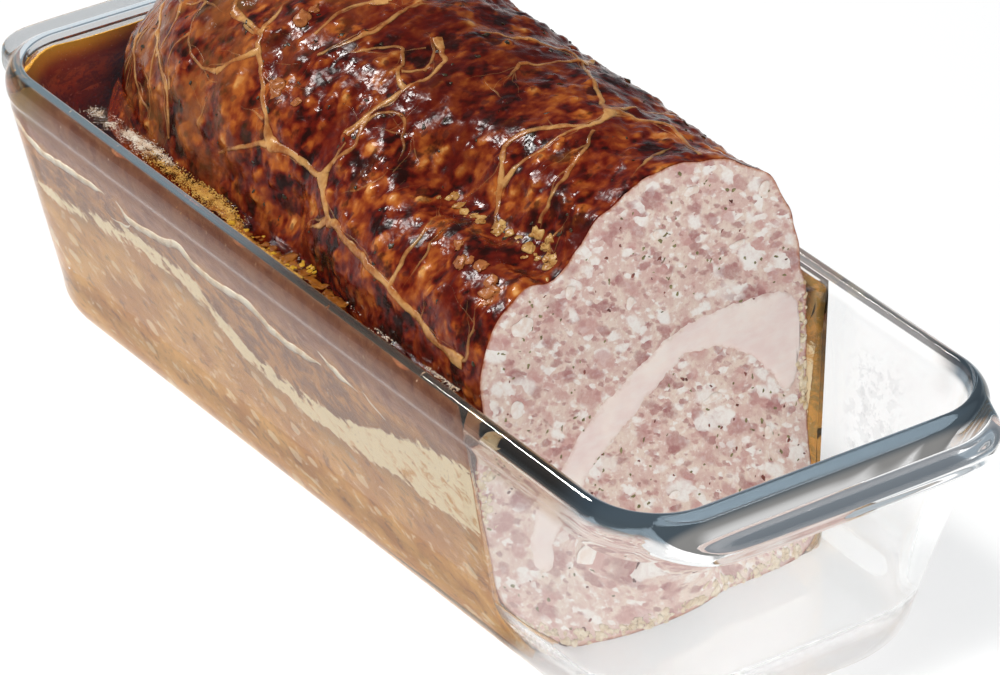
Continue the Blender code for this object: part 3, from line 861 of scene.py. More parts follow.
# The dome as (y, z), from the far aspic line over to the near one: at the cut, where the
# near shoulder lies low beside a crease, and farther back, where it is round.
DOME_AT_CUT = [
    (43.2, 57.0), (43.0, 64.5), (40.8, 75.5), (38.0, 84.5), (32.0, 92.6), (23.5, 98.0),
    (13.0, 100.7), (1.5, 101.4), (-8.0, 98.7), (-15.0, 95.2), (-19.5, 90.0), (-24.0, 87.0),
    (-33.0, 85.6), (-40.2, 81.6), (-44.8, 75.2), (-46.6, 67.0), (-46.4, 57.0),
]
DOME_BEHIND = [
    (43.2, 57.0), (43.0, 64.5), (40.8, 75.5), (38.0, 84.5), (32.0, 92.6), (23.5, 98.0),
    (13.0, 101.0), (1.5, 102.0), (-9.0, 100.6), (-18.0, 97.6), (-25.5, 93.2), (-32.0, 88.0),
    (-36.2, 82.8), (-38.8, 77.0), (-40.4, 70.6), (-41.4, 64.0), (-42.6, 57.0),
]
LOWER_OUTLINE = [
    (-46.2, 45.0), (-45.2, 28.0), (-43.9, 15.5), (-40.4, 9.2), (-33.0, 5.7),
    (-24.0, LOAF_FLOOR), (0.0, LOAF_FLOOR), (24.0, LOAF_FLOOR), (32.0, 5.7), (38.0, 9.2),
    (41.0, 17.0), (42.0, 30.0), (42.8, 44.0),
]
RELIEF_START_Z = 60.0
RELIEF_BLEND = 7.0
LUMP_SIZE = 15.0
CRAG_SIZE = 6.0
CREASE_Y = -26.0
CREASE_START_X = -14.0
CREASE_END_X = 34.0
CREASE_WIDTH = 5.0
CREASE_DEPTH = 1.7
CREASE_WANDER = 3.0
CREASE_WAVE = 20.0
FOLD_X = -6.0
FOLD_NEAR_Y = -30.0
FOLD_FAR_Y = 12.0
FOLD_WIDTH = 5.5
FOLD_DEPTH = 1.8
FOLD_SLANT = 0.25
FOLD_WANDER = 4.0
FOLD_WAVE = 25.0
# How strongly the rings over the cut crowd towards its edge.
CAP_CROWDING = 1.35
# The inset value of the crust, at most: anything below 0 isn't on the cut.
CRUST_INSET = -0.01
# The seam of set fat along the side, as (x, foot, top): a thin line that swells into a
# broad patch beside the cut.
CREAM_SEAM = [
    (-120.0, 33.5, 34.5), (-89.0, 35.0, 37.6), (-67.0, 38.6, 41.8), (-44.0, 37.6, 41.6),
    (-35.0, 34.6, 38.6), (-22.0, 29.8, 33.8), (-8.0, 27.8, 31.8), (9.0, 27.6, 32.6),
    (22.0, 27.4, 35.0), (37.0, 30.0, 40.5), (53.0, 29.0, 45.0), (73.0, 31.0, 47.0),
]
# Patterns are drawn out round the loaf by these factors of x, y and z.
PEBBLE_STRETCH = (1.0, 0.85, 0.9)
CRUST_STRETCH = (1.0, 0.78, 0.88)
STREAK_STRETCH = (1.0, 0.45, 0.7)
PIECE_STRETCH = (1.0, 0.58, 1.0)
COARSE_PEBBLE = 4.1
FINE_PEBBLE = 2.1
# Chopped pieces at the cut: size, turn of the pattern, and the shares of the pieces that
# are meat and fat.
PIECE_KINDS = [(4.6, 0.5, 0.26, 0.07), (3.1, 0.9, 0.26, 0.14), (2.1, 0.2, 0.28, 0.16),
               (1.2, 0.6, 0.24, 0.16)]


def cut_x(y, z):
    """The cut leans a little away from the empty end and bellies out at its foot."""
    belly = CUT_BULGE * math.exp(-(z / CUT_BULGE_HEIGHT) ** 2)
    belly *= max(0.0, 1.0 - (y / CUT_BULGE_HALF_WIDTH) ** 6)
    return CUT_X_AT_FLOOR - CUT_LEAN * z + belly


def closed_section(dome_outline):
    """(y, z) round the loaf, counter-clockwise from +X: the dome, then the lower part."""
    lower_outline = [dome_outline[-1]] + LOWER_OUTLINE + [dome_outline[0]]
    dome = spline_points(dome_outline, DOME_POINTS)
    lower = spline_points(lower_outline, LOWER_POINTS + 2)
    return dome + lower[1:-1]


def end_share(x, roundness):
    """Share of a size that is left at x in the loaf's rounded far end."""
    reach = min(1.0, max(0.0, (SPRING_X - x) / END_LENGTH))
    return (1.0 - reach ** roundness) ** (1.0 / roundness)


def rounded_off(x, section):
    """A section's points drawn in towards the loaf's axis where its far end rounds off."""
    width = end_share(x, END_WIDTH_ROUNDNESS)
    top = end_share(x, END_TOP_ROUNDNESS)
    foot = end_share(x, END_FOOT_ROUNDNESS)
    return [(x, y * width, AXIS_Z + (z - AXIS_Z) * (top if z > AXIS_Z else foot))
            for y, z in section]


def loaf_rows():
    """Rings from the far end to the cut. The last ones lie along the leaning cut."""
    behind = closed_section(DOME_BEHIND)
    at_cut = closed_section(DOME_AT_CUT)

    def section(x):
        part = smoothstep(CREASE_START_X, CREASE_END_X, x)
        return [back.lerp(front, part) for back, front in zip(behind, at_cut)]

    rows = []
    for step in range(1, END_STATIONS + 1):
        angle = 0.5 * math.pi * (1.0 - step / (END_STATIONS + 1.0))
        x = SPRING_X - END_LENGTH * math.sin(angle)
        rows.append(rounded_off(x, section(x)))
    for step in range(STRAIGHT_STATIONS + 1):
        part = step / STRAIGHT_STATIONS
        ring = section(mix(SPRING_X, CUT_X_AT_FLOOR, part))
        rows.append([(mix(SPRING_X, cut_x(y, z), part), y, z) for y, z in ring])
    return rows


def crust_relief(place, lump_height, crag_height):
    """Height of the crust above its plain form: lumps, crags, one crease and one fold."""
    fading = smoothstep(RELIEF_START_Z, RELIEF_START_Z + RELIEF_BLEND, place.z)
    if fading == 0.0:
        return 0.0
    lumps = noise.noise(place / LUMP_SIZE) * lump_height
    crags = noise.noise(place / CRAG_SIZE + Vector((31.0, 7.0, 5.0))) * crag_height
    along = smoothstep(CREASE_START_X, CREASE_END_X, place.x)
    wander = CREASE_WANDER * noise.noise(Vector((place.x / CREASE_WAVE, 4.0, 2.0)))
    crease = math.exp(-((place.y - CREASE_Y - wander) / CREASE_WIDTH) ** 2)
    bend = (FOLD_X + FOLD_SLANT * place.y
            + FOLD_WANDER * noise.noise(Vector((9.0, place.y / FOLD_WAVE, 3.0))))
    fold = math.exp(-((place.x - bend) / FOLD_WIDTH) ** 2)
    fold *= 1.0 - smoothstep(FOLD_NEAR_Y, FOLD_FAR_Y, place.y)
    height = lumps + crags - CREASE_DEPTH * crease * along - FOLD_DEPTH * fold
    return height * fading


def add_relief(rows, settings):
    """Move every crust point along its own normal, and the cut's edge within the cut."""
    lump_height = settings.lump_height / MM
    crag_height = settings.crag_height / MM
    places = [[Vector(point) for point in row] for row in rows]
    number = len(places[0])
    raised = []
    for index, row in enumerate(places):
        before = places[max(index - 1, 0)]
        after = places[min(index + 1, len(places) - 1)]
        ring = []
        for spot, place in enumerate(row):
            normal = (row[(spot + 1) % number] - row[spot - 1]).cross(after[spot]
                                                                     - before[spot])
            if index == len(places) - 1:
                normal.x = 0.0
            height = crust_relief(place, lump_height, crag_height)
            ring.append(place + normal.normalized() * height)
        raised.append(ring)
    return raised


def cap_rings(edge):
    """Rings that shrink over the cut face from its edge, closest together beside it."""
    centre_z = sum(point.z for point in edge) / len(edge)
    rings = []
    for step in range(1, CAP_RINGS):
        keep = 1.0 - (step / CAP_RINGS) ** CAP_CROWDING
        ring = []
        for point in edge:
            y = point.y * keep
            z = centre_z + (point.z - centre_z) * keep
            ring.append(Vector((cut_x(y, z), y, z)))
        rings.append(ring)
    return rings, Vector((cut_x(0.0, centre_z), 0.0, centre_z))


def add_seam(builder):
    """How far each point lies inside the seam of fat, and above the seam's middle."""
    cream = builder.verts.layers.float.new("cream")
    above = builder.verts.layers.float.new("above")
    for vert in builder.verts:
        place = vert.co / MM
        foot, top = along_table(CREAM_SEAM, place.x)
        vert[cream] = min(place.z - foot, top - place.z)
        vert[above] = place.z - 0.5 * (foot + top)


def loaf_mesh(settings):
    """The loaf's plain form with its broad relief.

    Its inset attribute is the distance in from the cut's edge, negative on the crust.
    """
    rows = add_relief(loaf_rows(), settings)
    rings, pole = cap_rings(rows[-1])
    far_end = Vector((LOAF_LOW.x, 0.0, AXIS_Z))
    builder = loft(rows + rings, far_end, pole)
    inset = builder.verts.layers.float.new("inset")
    number = len(rows[0])
    edge = rows[-1]
    for index, vert in enumerate(builder.verts):
        place = vert.co / MM
        row, spot = divmod(index, number)
        if row < len(rows) - 1:
            vert[inset] = min(CRUST_INSET, place.x - cut_x(place.y, place.z))
        else:
            vert[inset] = (place - edge[spot]).length
    return finished_mesh("loaf_form", builder, [])


def crust_pebbles(tree, place):
    """Lumps of fat under the crust, drawn out round the loaf: 0 between, 1 on top.

    Also a tone for each coarse lump, and the spots of dark meat between them.
    """
    drawn = tree.vector("MULTIPLY", tree.warped(place, 5.0, 3.4), PEBBLE_STRETCH)
    distance, pick, tone = tree.cells(drawn, COARSE_PEBBLE)
    coarse = distance.fade(0.52, 0.12) * pick.fade(0.4, 0.5)
    drawn = tree.vector("MULTIPLY", tree.warped(place, 2.4, 1.8), PEBBLE_STRETCH)
    distance, pick, _ = tree.cells(drawn, FINE_PEBBLE)
    fine = distance.fade(0.5, 0.12) * pick.fade(0.48, 0.56)
    spots = distance.fade(0.5, 0.28) * pick.fade(0.17, 0.13)
    return coarse, fine, tone, spots


def cut_pieces(tree, place):
    """Chopped meat and fat at the cut: shares and a tone for each size of piece."""
    layers = []
    for size, turn, meat_share, fat_share in PIECE_KINDS:
        turned = tree.field("ShaderNodeVectorRotate", {"rotation_type": "X_AXIS"},
                            {"Vector": place, "Angle": turn})
        drawn = tree.vector("MULTIPLY", turned, PIECE_STRETCH)
        ragged = tree.warped(tree.warped(drawn, 0.9 * size, 0.9 * size), 0.9, 0.7)
        distance, pick, tone = tree.cells(ragged, size)
        body = distance.fade(0.62, 0.32)
        layers.append((body * pick.fade(meat_share + 0.01, meat_share - 0.01),
                       body * pick.fade(0.99 - fat_share, 1.01 - fat_share), tone))
    return layers


def relief_tree():
    """Fine relief of the crust and of the cut, as real height."""
    tree = Growth("loaf_surface", ["Pebble Height", "Grain Height", "Crumb Height",
                                   "Finish", "Cut Finish"])
    place = tree.place
    inset = tree.named("inset")
    on_cut = inset.math("GREATER_THAN", inset, 0.0)
    browned = tree.axis(place, "Z").fade(55.0 * MM, 62.0 * MM)
    coarse, fine = crust_pebbles(tree, place)[:2]
    streaks = tree.noise(tree.vector("MULTIPLY", place, STREAK_STRETCH), 2.0, 4.0)
    crust = ((coarse + fine * 0.4) * tree.given("Pebble Height")
             + (streaks - 0.5) * 2.0 * tree.given("Grain Height"))
    crumb = (tree.noise(place, 2.6, 4.0, 0.6) - 0.5) * 2.0 * tree.given("Crumb Height")
    rise = crust * browned * inset.fade(-0.2, -3.0)
    height = tree.field("ShaderNodeMix", {"data_type": "FLOAT"},
                        {0: on_cut, 2: rise, 3: crumb})
    offset = tree.scaled(tree.field("GeometryNodeInputNormal"), height)
    tree.finish(tree.shifted(tree.given("Geometry"), offset), cut=on_cut)
    return tree


def crust_paint(finish, settings):
    """Dark red meat, orange lumps of browned fat and charred hollows.

    The top's middle is darker, and thin fat lies over the crust's far end.
    """
    place = finish.place
    drawn = finish.vector("MULTIPLY", place, CRUST_STRETCH)
    cloud = finish.noise(drawn, 10.0, 3.0, 0.6).fade(0.3, 0.7)
    streaks = finish.noise(finish.warped(drawn, 4.0, 3.0), 2.4, 4.0, 0.65).fade(0.3, 0.7)
    coarse, fine, tone, spots = crust_pebbles(finish, place)
    big = finish.patches(finish.warped(drawn, 5.0, 4.0), 4.2)
    small = finish.noise(finish.vector("ADD", drawn, (0.1, 0.5, 0.4)), 2.6, 1.0)
    small = small.fade(0.3, 0.7)
    tint = (big * 0.4 + small * 0.24 + cloud * 0.22 + streaks * 0.13
            + coarse * (tone * 0.24 + 0.12) + fine * 0.1 - 0.15)
    paint = finish.field("ShaderNodeValToRGB", {"stops": [
        (0.1, settings.char), (0.28, settings.deep_red), (0.46, settings.mahogany),
        (0.7, settings.browned_fat), (0.95, settings.pale_fat)]}, {0: tint})
    paint = finish.blend(spots * 0.6, paint, settings.plum)
    char = finish.noise(finish.vector("ADD", drawn, (0.3, 0.1, 0.2)), 8.0, 4.0, 0.65)
    paint = finish.blend(char.fade(0.54, 0.64) * 0.74, paint, settings.char)
    ruddy = finish.noise(finish.vector("ADD", drawn, (0.7, 0.2, 0.1)), 13.0, 3.0)
    paint = finish.blend(ruddy.fade(0.52, 0.62) * 0.55, paint, settings.deep_red)
    x = finish.along("X")
    middle = x.fade(-42.0, -18.0) * x.fade(38.0, 8.0)
    top = finish.along("Y").fade(-34.0, -12.0)
    paint = finish.blend(middle * top * 0.3, paint, settings.char)
    film = x.fade(-24.0, -66.0) * cloud.fade(0.1, 0.8)
    return finish.blend(film * 0.34, paint, settings.fat_film)


def crust_finish(settings):
    """Glazed crust: glossy, with small sharp highlights on its bumps."""
    finish = Finish("browned_crust_glazed")
    place = finish.place
    below = finish.along("Z").fade(52.0, 40.0)
    paint = finish.blend(below, crust_paint(finish, settings), settings.browned_fat)
    bump = finish.noise(place, 1.2, 1.0) * 0.3 + finish.noise(place, 3.0, 2.0)
    gloss = finish.noise(place, 5.0, 2.0).fade(0.3, 0.7)
    finish.set(Base_Color=paint, Roughness=gloss * 0.2 + 0.12, IOR=1.42,
               Specular_IOR_Level=0.15)
    finish.bump(bump, 0.4, 0.6)
    return finish.material


def paste_colour(finish, settings):
    """Pale paste, pinker in clouds, with fine fat and fine dark grain."""
    place = finish.place
    cloud = finish.noise(place, 5.0, 4.0, 0.6)
    speckle = finish.noise(place, 1.1, 3.0, 0.6)
    paint = finish.blend(cloud.fade(0.38, 0.62), settings.paste_pink, settings.paste)
    paint = finish.blend(speckle.fade(0.54, 0.68) * 0.55, paint, settings.fat)
    return finish.blend(speckle.fade(0.44, 0.32) * 0.5, paint, settings.meat)


def forcemeat_finish(settings, crust):
    """Coarse forcemeat: pale paste, mauve pieces of meat and white pieces of fat."""
    finish = Finish("forcemeat_cut")
    place = finish.place
    paint = paste_colour(finish, settings)
    fibre = finish.noise(finish.warped(place, 2.0, 2.0), 0.9, 3.0)
    for meat, fat, tone in reversed(cut_pieces(finish, place)):
        flesh = finish.blend(tone.fade(0.1, 0.9), settings.meat_dark, settings.meat)
        soft = fibre.fade(0.2, 0.7) * 0.3 + 0.46
        paint = finish.blend(meat * soft, paint, flesh)
        paint = finish.blend(fat * soft * 1.3, paint, settings.fat)
    inset = finish.attribute("inset") + (finish.noise(place, 2.2, 3.0) - 0.5) * 1.6
    paint = finish.blend(inset.fade(0.9, 0.1) * 0.6, paint, crust.browned_fat)
    paint = finish.blend(inset.fade(0.2, -0.2), paint, crust.mahogany)
    finish.set(Base_Color=paint, Roughness=fibre * 0.25 + 0.3, IOR=1.4)
    finish.bump(fibre + finish.noise(place, 2.0, 2.0), 0.3, 0.5)
    return finish.material


class TERRINE_OT_loaf(bpy.types.Operator):
    """Loaf with its browned crust and its cut face"""
    bl_idname = "terrine.loaf"
    bl_label = "Loaf"

    def execute(self, context):
        sizes = context.scene.terrine_loaf
        mesh = relief_tree().grown(
            "terrine_loaf", loaf_mesh(sizes), pebble_height=sizes.pebble_height,
            grain_height=sizes.grain_height, crumb_height=sizes.crumb_height,
            finish=crust_finish(sizes),
            cut_finish=forcemeat_finish(context.scene.terrine_cut, sizes))
        add_piece("terrine_loaf", mesh, "browned_crust", "loaf")
        return {"FINISHED"}


# ---- Fillet ----
FILLET_END_X = -88.0
FILLET_GROWTH = 1.0
FILLET_PROUD = 0.3
FILLET_SUNK = 0.3
FILLET_POINTS = 260
FILLET_STATIONS = 10
FILLET_COLUMNS = 10
FILLET_TIP = 3
FILLET_CROWDING = 1.5
FILLET_WAVE = 4.0
FILLET_SLOPE = 3.0
FILLET_WOBBLE = 0.9
FILLET_FINE_WOBBLE = 0.45
# About how far apart the rows across the fillet's face lie.
FILLET_ROW_STEP = 0.7
FILLET_OUTLINE = [
    (-35.0, 23.0), (-31.5, 33.5), (-22.2, 44.9), (-9.4, 54.4), (7.7, 62.8), (23.1, 63.8),
    (33.0, 63.6), (39.0, 60.5), (40.0, 50.0), (37.5, 38.0), (33.0, 43.5), (25.6, 51.5),
    (10.2, 55.8), (-4.2, 46.6), (-18.5, 36.3), (-26.5, 26.8), (-31.0, 20.5),
]


def fillet_outline():
    """The fillet's outline at the cut, a little uneven, counter-clockwise from +X."""
    points = spline_points(FILLET_OUTLINE, FILLET_POINTS, cyclic=True)
    grown = []
    for index, point in enumerate(points):
        along = points[(index + 1) % len(points)] - points[index - 1]
        normal = Vector((-along.y, along.x)).normalized()
        spot = Vector((point.x, point.y, 0.0)) / FILLET_WAVE
        wobble = (FILLET_WOBBLE * noise.noise(spot)
                  + FILLET_FINE_WOBBLE * noise.noise(spot * 3.0))
        grown.append(point + normal * (FILLET_GROWTH + wobble))
    return list(reversed(grown[-FILLET_TIP:] + grown[:-FILLET_TIP]))


def fillet_rings(outline):
    rings = []
    for step in range(FILLET_STATIONS + 1):
        part = (step / FILLET_STATIONS) ** FILLET_CROWDING
        ring = []
        for y, z in outline:
            x = mix(FILLET_END_X, cut_x(y, z) - FILLET_SUNK, part)
            ring += rounded_off(x, [(y, z)])
        rings.append(ring)
    return rings


def add_fillet_face(builder):
    """The fillet's face at the cut, in rows from side to side of the strip.

    Its border attribute is the distance in from the nearest side or end.
    """
    border = builder.verts.layers.float.new("border")
    builder.verts.ensure_lookup_table()
    edge = builder.verts[-FILLET_POINTS:]
    for face in [face for face in edge[0].link_faces if len(face.verts) > 4]:
        builder.faces.remove(face)
    half = FILLET_POINTS // 2
    rows = []
    for index in range(half):
        first = edge[index]
        last = edge[-1 - index]
        width = (last.co - first.co).length / MM
        along = FILLET_ROW_STEP * min(index, half - 1 - index)
        row = [first]
        for step in range(1, FILLET_COLUMNS):
            part = step / FILLET_COLUMNS
            place = first.co.lerp(last.co, part) / MM
            inward = min(part * width, (1.0 - part) * width, along)
            rise = (FILLET_SUNK + FILLET_PROUD) * smoothstep(0.0, FILLET_SLOPE, inward)
            place.x = cut_x(place.y, place.z) + rise - FILLET_SUNK
            vert = builder.verts.new(place * MM)
            vert[border] = inward
            row.append(vert)
        rows.append(row + [last])
    for lower, upper in zip(rows, rows[1:]):
        for step in range(FILLET_COLUMNS):
            builder.faces.new((lower[step], lower[step + 1], upper[step + 1], upper[step]))
    builder.faces.new(rows[0])
    builder.faces.new(rows[-1])
    bmesh.ops.recalc_face_normals(builder, faces=builder.faces)


def fillet_finish(settings):
    """Smooth pale meat that blends into the paste along its border."""
    finish = Finish("pale_fillet_cut")
    place = finish.place
    cloud = finish.noise(place, 16.0, 3.0)
    fibres = finish.noise(finish.vector("MULTIPLY", place, (1.0, 0.5, 1.2)), 2.2, 4.0)
    paint = finish.blend(cloud.fade(0.35, 0.65), settings.fillet_pink, settings.fillet)
    paint = finish.blend(fibres.fade(0.35, 0.7) * 0.35, paint, settings.fat)
    border = finish.attribute("border") + (finish.noise(place, 3.0, 4.0, 0.6) - 0.5) * 5.0
    paint = finish.blend(border.fade(2.6, 0.4), paint, paste_colour(finish, settings))
    finish.set(Base_Color=paint, Roughness=fibres * 0.2 + 0.3, IOR=1.42)
    finish.bump(fibres, 0.2, 0.5)
    return finish.material


class TERRINE_OT_fillet(bpy.types.Operator):
    """Pale fillet that runs through the loaf"""
    bl_idname = "terrine.fillet"
    bl_label = "Fillet"

    def execute(self, context):
        builder = loft(fillet_rings(fillet_outline()))
        add_fillet_face(builder)
        finish = fillet_finish(context.scene.terrine_cut)
        mesh = finished_mesh("fillet_strip", builder, [finish])
        add_piece("fillet_strip", mesh, "pale_fillet", "fillet")
        return {"FINISHED"}


# ---- Aspic ----
JELLY_FOOT = 4.7
JELLY_WALL_STEPS = 16
JELLY_TOP_STEPS = 12
JELLY_SIDE_STEPS = 70
JELLY_END_STEPS = 96
MENISCUS = 0.9
MENISCUS_REACH = 1.6
SIDE_TOP = 59.2
SIDE_FOOT = 5.1
SIDE_WALL_STEPS = 30
CORNER_GROWTH = 1.6
CORNER_DROP = 1.6
SIDE_SLANT = -0.3
SIDE_STRETCH = (0.42, 0.8, 1.0)
BEHIND_CUT = 1.8
FAR_LAYER_GROWTH = 2.4
TOP_WAVE = 11.0
TOP_UNEVENNESS = 0.5
LAYER_WAVE = 9.0
LAYER_UNEVENNESS = 1.6
BREAK_WAVE = 4.0
BREAK_UNEVENNESS = 1.1
# How far past the cut the aspic and the settled layer end.
JELLY_PAST_CUT = -0.2
LAYER_PAST_CUT = -0.6
# Where the leg beside the far glass begins, across the dish, and where its layer thickens.
FAR_LEG_Y = (42.0, 49.0)
FAR_LAYER_X = (50.0, 62.0)
FULL_LAYER_Z = 40.0
CORNER_GROWTH_END_Z = 19.0
CORNER_DROP_END_Z = 14.0
TURN_WAVES = 12.0
# Farther out than any place in the dish, and how often that distance is halved.
PAST_THE_DISH = 150.0
HALVINGS = 18
# How far the far end face of the aspic lies back beside the glass, as (height, back).
BROKEN_BACK = [(4.0, 3.2), (40.0, 3.2), (45.0, 4.0), (48.0, 5.4), (52.0, 4.6), (54.5, 0.6),
               (62.0, 0.4)]


def to_glass(origin, heading, dish):
    """The distance along a heading from inside the hollow to its wall."""
    low, high = 0.0, PAST_THE_DISH
    for _ in range(HALVINGS):
        middle = 0.5 * (low + high)
        if dish.holds(origin + heading * middle):
            low = middle
        else:
            high = middle
    return low


def surface_of(name):
    """A finished piece's surface, for measuring to."""
    piece = bpy.data.objects[name]
    return BVHTree.FromObject(piece, bpy.context.evaluated_depsgraph_get())


def spread_heights(low, high, steps):
    """Heights from low to high, closest together at both ends."""
    return [mix(low, high, 0.5 - 0.5 * math.cos(math.pi * step / steps))
            for step in range(steps + 1)]


def round_the_loaf():
    """Places and headings from the near cut, round the far end, to the far cut."""
    near = Vector((0.0, -1.0, 0.0))
    cut = CUT_X_AT_FLOOR - CUT_LEAN * JELLY_HIGH.z - BEHIND_CUT
    stations = [(mix(cut, SPRING_X, step / JELLY_SIDE_STEPS), near)
                for step in range(JELLY_SIDE_STEPS)]
    for step in range(JELLY_END_STEPS + 1):
        angle = -0.5 * math.pi - math.pi * step / JELLY_END_STEPS
        stations.append((SPRING_X, Vector((math.cos(angle), math.sin(angle), 0.0))))
    stations += [(mix(SPRING_X, cut, step / JELLY_SIDE_STEPS), -near)
                 for step in range(1, JELLY_SIDE_STEPS + 1)]
    return stations


def broken_at_cut(rings, past_cut):
    """End both legs of a piece on the cut, a little ragged."""
    for ring in (rings[0], rings[-1]):
        for place in ring:
            spot = Vector((place.y / BREAK_WAVE, place.z / BREAK_WAVE, 8.0))
            ragged = BREAK_UNEVENNESS * noise.noise(spot)
            back = along_table(BROKEN_BACK, place.z)[0] * smoothstep(*FAR_LEG_Y, place.y)
            place.x = cut_x(place.y, place.z) + past_cut + ragged - back
    return rings


def jelly_section(x, heading, dish, loaf, settings):
    """Closed ring through the aspic: up along the glass, across and down the loaf."""
    outer = []
    inner = []
    for z in spread_heights(JELLY_FOOT, JELLY_HIGH.z, JELLY_WALL_STEPS):
        origin = Vector((x, 0.0, z))
        reach = to_glass(origin, heading, dish)
        wall = origin + heading * (reach + settings.into_glass / MM)
        hit = loaf.ray_cast(wall * MM, -heading)[0]
        flesh = hit / MM if hit is not None else origin
        outer.append(wall)
        inner.append(flesh - heading * (settings.into_loaf / MM))
    top = []
    width = (outer[-1] - inner[-1]).length
    for step in range(1, JELLY_TOP_STEPS):
        part = step / JELLY_TOP_STEPS
        place = outer[-1].lerp(inner[-1], part)
        edge = min(part, 1.0 - part) * width
        place.z += MENISCUS * math.exp(-edge / MENISCUS_REACH)
        spot = Vector((place.x / TOP_WAVE, place.y / TOP_WAVE, 1.0))
        place.z += TOP_UNEVENNESS * noise.noise(spot)
        top.append(place)
    outer[-1].z += MENISCUS
    inner[-1].z += MENISCUS
    return outer + top + list(reversed(inner))


def side_section(x, heading, dish, settings):
    """Closed ring through the settled layer that clings to the glass."""
    outer = []
    inner = []
    spot = Vector((x / LAYER_WAVE, heading.x * TURN_WAVES, 3.0))
    ragged = LAYER_UNEVENNESS * noise.noise(spot)
    for z in spread_heights(SIDE_FOOT, SIDE_TOP + ragged, SIDE_WALL_STEPS):
        origin = Vector((x, 0.0, z))
        reach = to_glass(origin, heading, dish)
        thick = settings.layer / MM * (0.3 + 0.7 * smoothstep(SIDE_TOP, FULL_LAYER_Z, z))
        if heading.y > 0.9:
            thick += FAR_LAYER_GROWTH * smoothstep(*FAR_LAYER_X, x)
        out = mix(CORNER_GROWTH, -settings.layer_gap / MM,
                  smoothstep(SIDE_FOOT, CORNER_GROWTH_END_Z, z))
        low = CORNER_DROP * (1.0 - smoothstep(SIDE_FOOT, CORNER_DROP_END_Z, z))
        outer.append(origin + heading * (reach + out) - Vector((0.0, 0.0, low)))
        inner.append(origin + heading * (reach + out - thick - low))
    return outer + list(reversed(inner))


def aspic_finish(settings):
    """Clear aspic, tinted by its depth."""
    finish = Finish("clear_aspic")
    finish.set(Base_Color=(1.0, 1.0, 1.0), Roughness=0.02, IOR=1.36,
               Transmission_Weight=1.0)
    finish.absorb(tuple(settings.tint), settings.depth)
    finish.let_lamps_through()
    return finish.material


def side_finish(settings):
    """Juices and fat settled against the glass, in bands down the side."""
    finish = Finish("settled_side")
    place = finish.place
    above = finish.attribute("above")
    height = finish.along("Z")
    far_end = finish.along("X").fade(-96.0, -116.0)
    turned = finish.field("ShaderNodeVectorRotate", {"rotation_type": "Y_AXIS"},
                          {"Vector": place, "Angle": SIDE_SLANT})
    drawn = finish.vector("MULTIPLY", turned, SIDE_STRETCH)
    wobble = (finish.noise(drawn, 12.0, 4.0, 0.6) - 0.5) * 12.0
    cloud = finish.noise(drawn, 7.0, 4.0, 0.65)
    mottle = finish.noise(finish.warped(drawn, 4.0, 4.0), 2.6, 5.0, 0.7)
    grain = finish.noise(place, 0.9, 3.0, 0.6)
    top = finish.blend(mottle.fade(0.3, 0.65), settings.top_brown, settings.top_mauve)
    top = finish.blend(far_end * 0.8, top, settings.deep_amber)
    top = finish.blend(far_end * (height + wobble * 0.4).fade(49.0, 57.0), top,
                       settings.top_olive)
    brown = finish.blend(mottle.fade(0.4, 0.58), settings.brown, settings.orange)
    brown = finish.blend(cloud.fade(0.56, 0.72) * 0.8, brown, settings.tan)
    high = finish.blend((height + wobble).fade(44.0, 51.0), brown, top)
    foot = finish.blend(cloud.fade(0.38, 0.62), settings.orange, settings.tan)
    foot = finish.blend(mottle.fade(0.46, 0.34) * 0.7, foot, settings.brown)
    foot = finish.blend(mottle.fade(0.55, 0.68) * 0.6, foot, settings.cream)
    distance, pick, _ = finish.cells(finish.warped(drawn, 4.0, 1.5), 3.4)
    ovals = distance.fade(0.36, 0.28) * pick.fade(0.72, 0.74)
    foot = finish.blend(ovals * 0.45, foot, settings.cream)
    side = finish.blend((above + wobble * 0.2).fade(-1.5, 1.5), foot, high)
    slab = finish.along("X").fade(56.0, 62.0) * finish.along("Y").fade(30.0, 40.0)
    thick = finish.blend(mottle.fade(0.42, 0.56), settings.tan, settings.amber)
    side = finish.blend(slab * 0.8, side, thick)
    ragged = finish.attribute("cream") + (mottle - 0.5) * 9.0 + wobble * 0.15
    shadow = ragged.fade(-5.0, -0.5) * cloud.fade(0.42, 0.58)
    side = finish.blend(shadow * 0.6, side, settings.brown)
    seam = finish.blend(mottle.fade(0.34, 0.5), settings.tan, settings.cream)
    side = finish.blend(ragged.fade(-0.5, 0.4) * 0.9, side, seam)
    side = finish.blend(grain.fade(0.4, 0.28) * 0.4, side, settings.brown)
    side = finish.blend(grain.fade(0.64, 0.72) * 0.35, side, settings.cream)
    finish.set(Base_Color=side, Roughness=0.5, IOR=1.4)
    return finish.material


class TERRINE_OT_aspic(bpy.types.Operator):
    """Aspic between the loaf and the glass, and the layer settled against the glass"""
    bl_idname = "terrine.aspic"
    bl_label = "Aspic"

    def execute(self, context):
        settings = context.scene.terrine_aspic
        dish = Dish(context.scene.terrine_dish)
        loaf = surface_of("terrine_loaf")
        rings = [jelly_section(x, heading, dish, loaf, settings)
                 for x, heading in round_the_loaf()]
        mesh = finished_mesh("set_aspic", loft(broken_at_cut(rings, JELLY_PAST_CUT)),
                             [aspic_finish(settings)])
        add_piece("set_aspic", mesh, "aspic", "jelly")
        rings = [side_section(x, heading, dish, settings)
                 for x, heading in round_the_loaf()]
        builder = loft(broken_at_cut(rings, LAYER_PAST_CUT))
        add_seam(builder)
        mesh = finished_mesh("settled_layer", builder, [side_finish(settings)])
        add_piece("settled_layer", mesh, "aspic")
        return {"FINISHED"}


# ---- Caul fat ----
STRAND_AXIS_Z = 50.0
ROUTE_RADIUS = 100.0
LACE_END_X = 58.5
